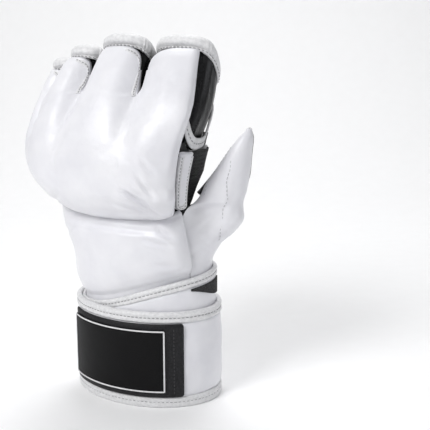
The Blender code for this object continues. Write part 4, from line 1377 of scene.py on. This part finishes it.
def wrap_point(angle, z, offset):
    """A point of the wrap, uneven on its outer face above the strap."""
    point = hand_point(angle, z, offset)
    if offset == WRAP_INNER:
        return point
    relief = ripple(point, *WRAP_RIPPLE) * smooth(z, STRAP_TOP, STRAP_TOP + WRAP_BARE_OVER)
    return hand_point(angle, z, offset + relief)


wrap_walls = walls(FULL_TURN, wrap_levels, wrap_point, WRAP_OUTER, WRAP_INNER)
layer("wrist_wrap_leather", *wrap_walls, True, "wrist_wrap", "white_leather", [smooth_white])
frames = edging(FULL_TURN, hand_point, lambda a: wrap_edge(a) + GAP, WRAP_TAPE, WRAP_INNER,
                lambda a: WRAP_OUTER + TAPE_PROUD * smooth(wrap_edge(a) - STRAP_TOP, *WRAP_TAPE_RISE))
stitched("wrap_edge", frames, FLAT_TAPE, FLAT_SEAM, True, "wrap_binding")
loop_black = grained("black_loop_cloth", (0.014, 0.014, 0.015), 0.9, (900, 3.0),
                     ((0.006, 0.006, 0.006), (0.050, 0.050, 0.053)), bumps=[(None, 0.0010)])


def loop_levels(angle):
    high = wrap_edge(angle) - GAP
    start, end = LOOP_PATCH_ARC
    return steps(high - LOOP_PATCH_DROP * smooth(angle, start - LOOP_PATCH_FADE, end), high, 12)


patch_inner = WRAP_OUTER + GAP
patch_walls = walls(steps(*LOOP_PATCH_ARC, 50), loop_levels, hand_point, patch_inner + LABEL, patch_inner)
layer("loop_patch_cloth", *patch_walls, False, "loop_patch", "black_cloth", [loop_black])


# Wrist strap: the outer turn, white leather over a thin soft filling, with a stitched tape bound
# over each long edge. The lower tape is flat where the glove stands on it.
STRAP = 0.0032
STRAP_INNER = WRAP_OUTER + GAP
STRAP_OUTER = STRAP_INNER + STRAP
STRAP_TAPE = 0.0085
STRAP_PUFF = 0.0008
# Section of the lower tape, cut flat at the edge it stands on
STANDING_TAPE = (
    Fold(0.00, 0.10), Fold(0.00, 0.78), Fold(0.05, 0.92), Fold(0.16, 1.00), Fold(0.34, 0.96),
    Fold(0.50, 0.86), Fold(0.62, 0.95), Fold(0.80, 0.98), Fold(0.95, 0.80), Fold(1.00, 0.40),
    Fold(0.98, 0.04), Fold(0.50, 0.00), Fold(0.04, 0.00),
)
STRAP_CREASES = (
    Crease(42, 40, 8, 44, 2.4, 0.7),
    Crease(-46, 36, -6, 46, 2.4, 0.6),
    Crease(50, 30, -4, 34, 2.0, 0.6),
)
STRAP_RIPPLE = (0.016, 0.0010, 9.0)
# Angles over which the strap lies flat under the closure's tab
STRAP_FLAT_FROM = (196, 214)
STRAP_FLAT_TO = (322, 338)
low, high = STRAP_TAPE + GAP, STRAP_TOP - STRAP_TAPE - GAP


def strap_point(angle, z, offset):
    """A point of the strap, softly filled and creased where no tab lies on it."""
    point = hand_point(angle, z, offset)
    if offset == STRAP_INNER:
        return point
    bare_side = 1 - smooth(angle, *STRAP_FLAT_FROM) * (1 - smooth(angle, *STRAP_FLAT_TO))
    puff = STRAP_PUFF * (1 - (2 * (z - low) / (high - low) - 1) ** 4)
    relief = puff + ripple(point, *STRAP_RIPPLE) - creased(point, STRAP_CREASES)
    return hand_point(angle, z, offset + relief * bare_side)


strap_walls = walls(FULL_TURN, lambda a: steps(low, high, 34), strap_point, STRAP_OUTER, STRAP_INNER)
layer("wrist_strap_leather", *strap_walls, True, "wrist_strap", "white_leather", [smooth_white])
for name, foot, fold in (("top", STRAP_TOP - STRAP_TAPE, FLAT_TAPE), ("bottom", 0.0, STANDING_TAPE)):
    frames = edging(FULL_TURN, hand_point, lambda a: foot, STRAP_TAPE, STRAP_INNER,
                    lambda a: STRAP_OUTER + TAPE_PROUD)
    stitched(f"strap_{name}", frames, fold, FLAT_SEAM, True, f"strap_{name}_binding")


# Closure: the black hook tab sewn over the strap's end with dark thread, and on it a bare label of
# soft black sheet with a thin raised white line round it.
TAB = 0.0014
TAB_ARC = (211, 329)
LABEL_ARC = (213, 314)
LABEL_MARGIN = 0.0040
LABEL_CORNER = 0.0012
LABEL_RADIUS = 0.0520
FRAME = 0.0005
FRAME_WIDTH = 0.0011
TAB_SEAM = 321.5
TAB_SEAM_INSET = 0.002
TAB_PITCH = 0.0028
LINE_STEP = 0.0015


tab_black = grained(
    "black_tab_leather", (0.010, 0.010, 0.011), 0.50, (900, 3.0),
    ((0.008, 0.008, 0.009), (0.022, 0.022, 0.024)),
    bumps=[(None, 0.0003), ((90,), 0.0006)], looks=[("Specular IOR Level", 0.22)])
label_black = grained(
    "black_label_sheet", (0.004, 0.004, 0.0045), 0.48, (1600, 2.0),
    ((0.003, 0.003, 0.0035), (0.006, 0.006, 0.0065)),
    bumps=[(None, 0.00008), ((45,), 0.0005)], looks=[("Specular IOR Level", 0.12)])
dark_thread = grained("black_thread", (0.03, 0.03, 0.032), 0.6, THREAD_GRAIN,
                      ((0.014, 0.014, 0.015), (0.07, 0.07, 0.075)))


def patch(name, arc, low, high, inner, outer, node, finish):
    """A flat patch on the strap with rounded corners."""
    def levels(angle):
        near_end = math.radians(min(angle - arc[0], arc[1] - angle)) * LABEL_RADIUS
        cut = LABEL_CORNER * (1 - quarter_round(near_end / LABEL_CORNER))
        return steps(low + cut, high - cut, 16)

    patch_walls = walls(steps(*arc, 120), levels, hand_point, outer, inner)
    layer(name, *patch_walls, False, node, "black_leather", [finish])


tab_inner = STRAP_OUTER + GAP
tab_outer = tab_inner + TAB
patch("closure_tab_leather", TAB_ARC, low, high, tab_inner, tab_outer, "closure_tab", tab_black)
label_low, label_high = low + LABEL_MARGIN, high - LABEL_MARGIN
label_inner = tab_outer + GAP
label_outer = label_inner + LABEL
patch("bare_label", LABEL_ARC, label_low, label_high, label_inner, label_outer, "label_panel", label_black)

half_long = math.radians(LABEL_ARC[1] - LABEL_ARC[0]) / 2 * LABEL_RADIUS
half_high = (label_high - label_low) / 2
centre = (sum(LABEL_ARC) / 2, (label_low + label_high) / 2)
around = []
for turn_from, side_x, side_z in ((0, 1, 1), (90, -1, 1), (180, -1, -1), (270, 1, -1)):
    for turn in steps(turn_from, turn_from + 90, 8):
        out_x, out_z = round_place(turn)
        x = side_x * (half_long - LABEL_CORNER) + out_x * LABEL_CORNER
        z = side_z * (half_high - LABEL_CORNER) + out_z * LABEL_CORNER
        around.append((x, z, out_x, out_z))


def on_label(place, depth, offset):
    """A point at the white line, from its outer edge in by a depth and off the label by an offset."""
    x, z, out_x, out_z = place
    angle = centre[0] + math.degrees((x - out_x * depth) / LABEL_RADIUS)
    return hand_point(angle, centre[1] + z - out_z * depth, line_inner + offset)


line_inner = label_outer + GAP / 4
frames = []
for (x, z, out_x, out_z), (next_x, next_z, *_) in zip(around, around[1:] + around[:1]):
    parts = max(int(math.hypot(next_x - x, next_z - z) / LINE_STEP), 1)
    for k in range(parts):
        place = (x + (next_x - x) * k / parts, z + (next_z - z) * k / parts, out_x, out_z)
        edge = on_label(place, 0.0, 0.0)
        frames.append((edge, on_label(place, FRAME_WIDTH, 0.0) - edge, on_label(place, 0.0, FRAME) - edge))
tape("label_line", frames, FLAT_TAPE, True, "label_frame")

tab_seam = [(hand_point(TAB_SEAM, z, tab_outer), hand_point(TAB_SEAM, z, 0.03) - hand_point(TAB_SEAM, z, 0.0))
            for z in steps(low + TAB_SEAM_INSET, high - TAB_SEAM_INSET, 30)]
thread_run("tab_stitches_1", tab_seam, False, TAB_PITCH, dark_thread, "black_leather")


# Studio: a plain pale sweep and three soft lights, as in a shop's product photo.
CAMERA_AZIMUTH = 27
CAMERA_ELEVATION = 12
CAMERA_DISTANCE = 0.65
METRES_PER_PIXEL = 0.000755
PHOTO_WIDTH = 430
GLOVE_COLUMN = 147
HUB_HEIGHT = 0.135
SENSOR = 36
# The sweep: its reach in front, where it starts to rise behind, the bend's radius, height and half width
SWEEP_FRONT = -2.2
SWEEP_BEND_FROM = 0.55
SWEEP_BEND = 0.5
SWEEP_TOP = 2.6
WORLD_STRENGTH = 0.32


def view_axes(azimuth, elevation):
    """The directions to the right of a view and from its aim to its eye."""
    turn, lift = math.radians(azimuth), math.radians(elevation)
    right = Vector((math.cos(turn), math.sin(turn), 0))
    back = Vector((math.sin(turn) * math.cos(lift), -math.cos(turn) * math.cos(lift), math.sin(lift)))
    return right, back


right, toward = view_axes(CAMERA_AZIMUTH, CAMERA_ELEVATION)
away = Vector((-toward.x, -toward.y, 0)).normalized()
profile = [(SWEEP_FRONT, 0.0), (SWEEP_BEND_FROM, 0.0)]
profile += [(SWEEP_BEND_FROM + SWEEP_BEND * math.sin(a), SWEEP_BEND - SWEEP_BEND * math.cos(a))
            for a in steps(0, math.pi / 2, 16)[1:]]
profile += [(SWEEP_BEND_FROM + SWEEP_BEND, SWEEP_TOP)]
points = [away * d + right * w + Vector((0, 0, h)) for d, h in profile for w in (-SWEEP_TOP, SWEEP_TOP)]
faces = [(2 * k, 2 * k + 1, 2 * k + 3, 2 * k + 2) for k in range(len(profile) - 1)]
data = bpy.data.meshes.new("paper_sweep")
data.from_pydata(points, [], faces)
data.shade_smooth()
data.materials.append(grained("pale_paper", (0.95, 0.95, 0.955), 0.85, (60, 2.0),
                              ((0.945, 0.945, 0.95), (0.96, 0.96, 0.965))))
sweep = bpy.data.objects.new("paper_sweep", data)
bpy.context.scene.collection.objects.link(sweep)

hub = WRIST + Vector((0, 0, HUB_HEIGHT))
# Azimuth, elevation, distance, size, power and colour of each light
Lamp = namedtuple("Lamp", "name azimuth elevation distance size power colour")
LAMPS = (
    Lamp("key_light", -14, 40, 1.15, 0.50, 8.0, (1.0, 1.0, 1.0)),
    Lamp("fill_light", 92, 24, 1.40, 0.90, 2.7, (0.93, 0.95, 1.0)),
    Lamp("top_light", 200, 62, 1.40, 0.80, 8.4, (1.0, 1.0, 1.0)),
)
for lamp in LAMPS:
    data = bpy.data.lights.new(lamp.name, "AREA")
    data.shape = "DISK"
    data.size = lamp.size
    data.energy = lamp.power
    data.color = lamp.colour
    light = bpy.data.objects.new(lamp.name, data)
    bpy.context.scene.collection.objects.link(light)
    _, direction = view_axes(lamp.azimuth, lamp.elevation)
    light.location = hub + direction * lamp.distance
    light.rotation_euler = direction.to_track_quat("Z", "Y").to_euler()

world = bpy.data.worlds.new("studio")
world.use_nodes = True
sky = world.node_tree.nodes["Background"]
sky.inputs["Color"].default_value = (1.0, 1.0, 1.0, 1.0)
sky.inputs["Strength"].default_value = WORLD_STRENGTH
bpy.context.scene.world = world
bpy.context.scene.view_settings.view_transform = "Standard"

data = bpy.data.cameras.new("camera")
data.sensor_width = SENSOR
data.lens = SENSOR * CAMERA_DISTANCE / (PHOTO_WIDTH * METRES_PER_PIXEL)
data.clip_start = 0.01
camera = bpy.data.objects.new("camera", data)
bpy.context.scene.collection.objects.link(camera)
aim = hub + right * (PHOTO_WIDTH / 2 - GLOVE_COLUMN) * METRES_PER_PIXEL
camera.location = aim + toward * CAMERA_DISTANCE
camera.rotation_euler = toward.to_track_quat("Z", "Y").to_euler()
bpy.context.scene.camera = camera
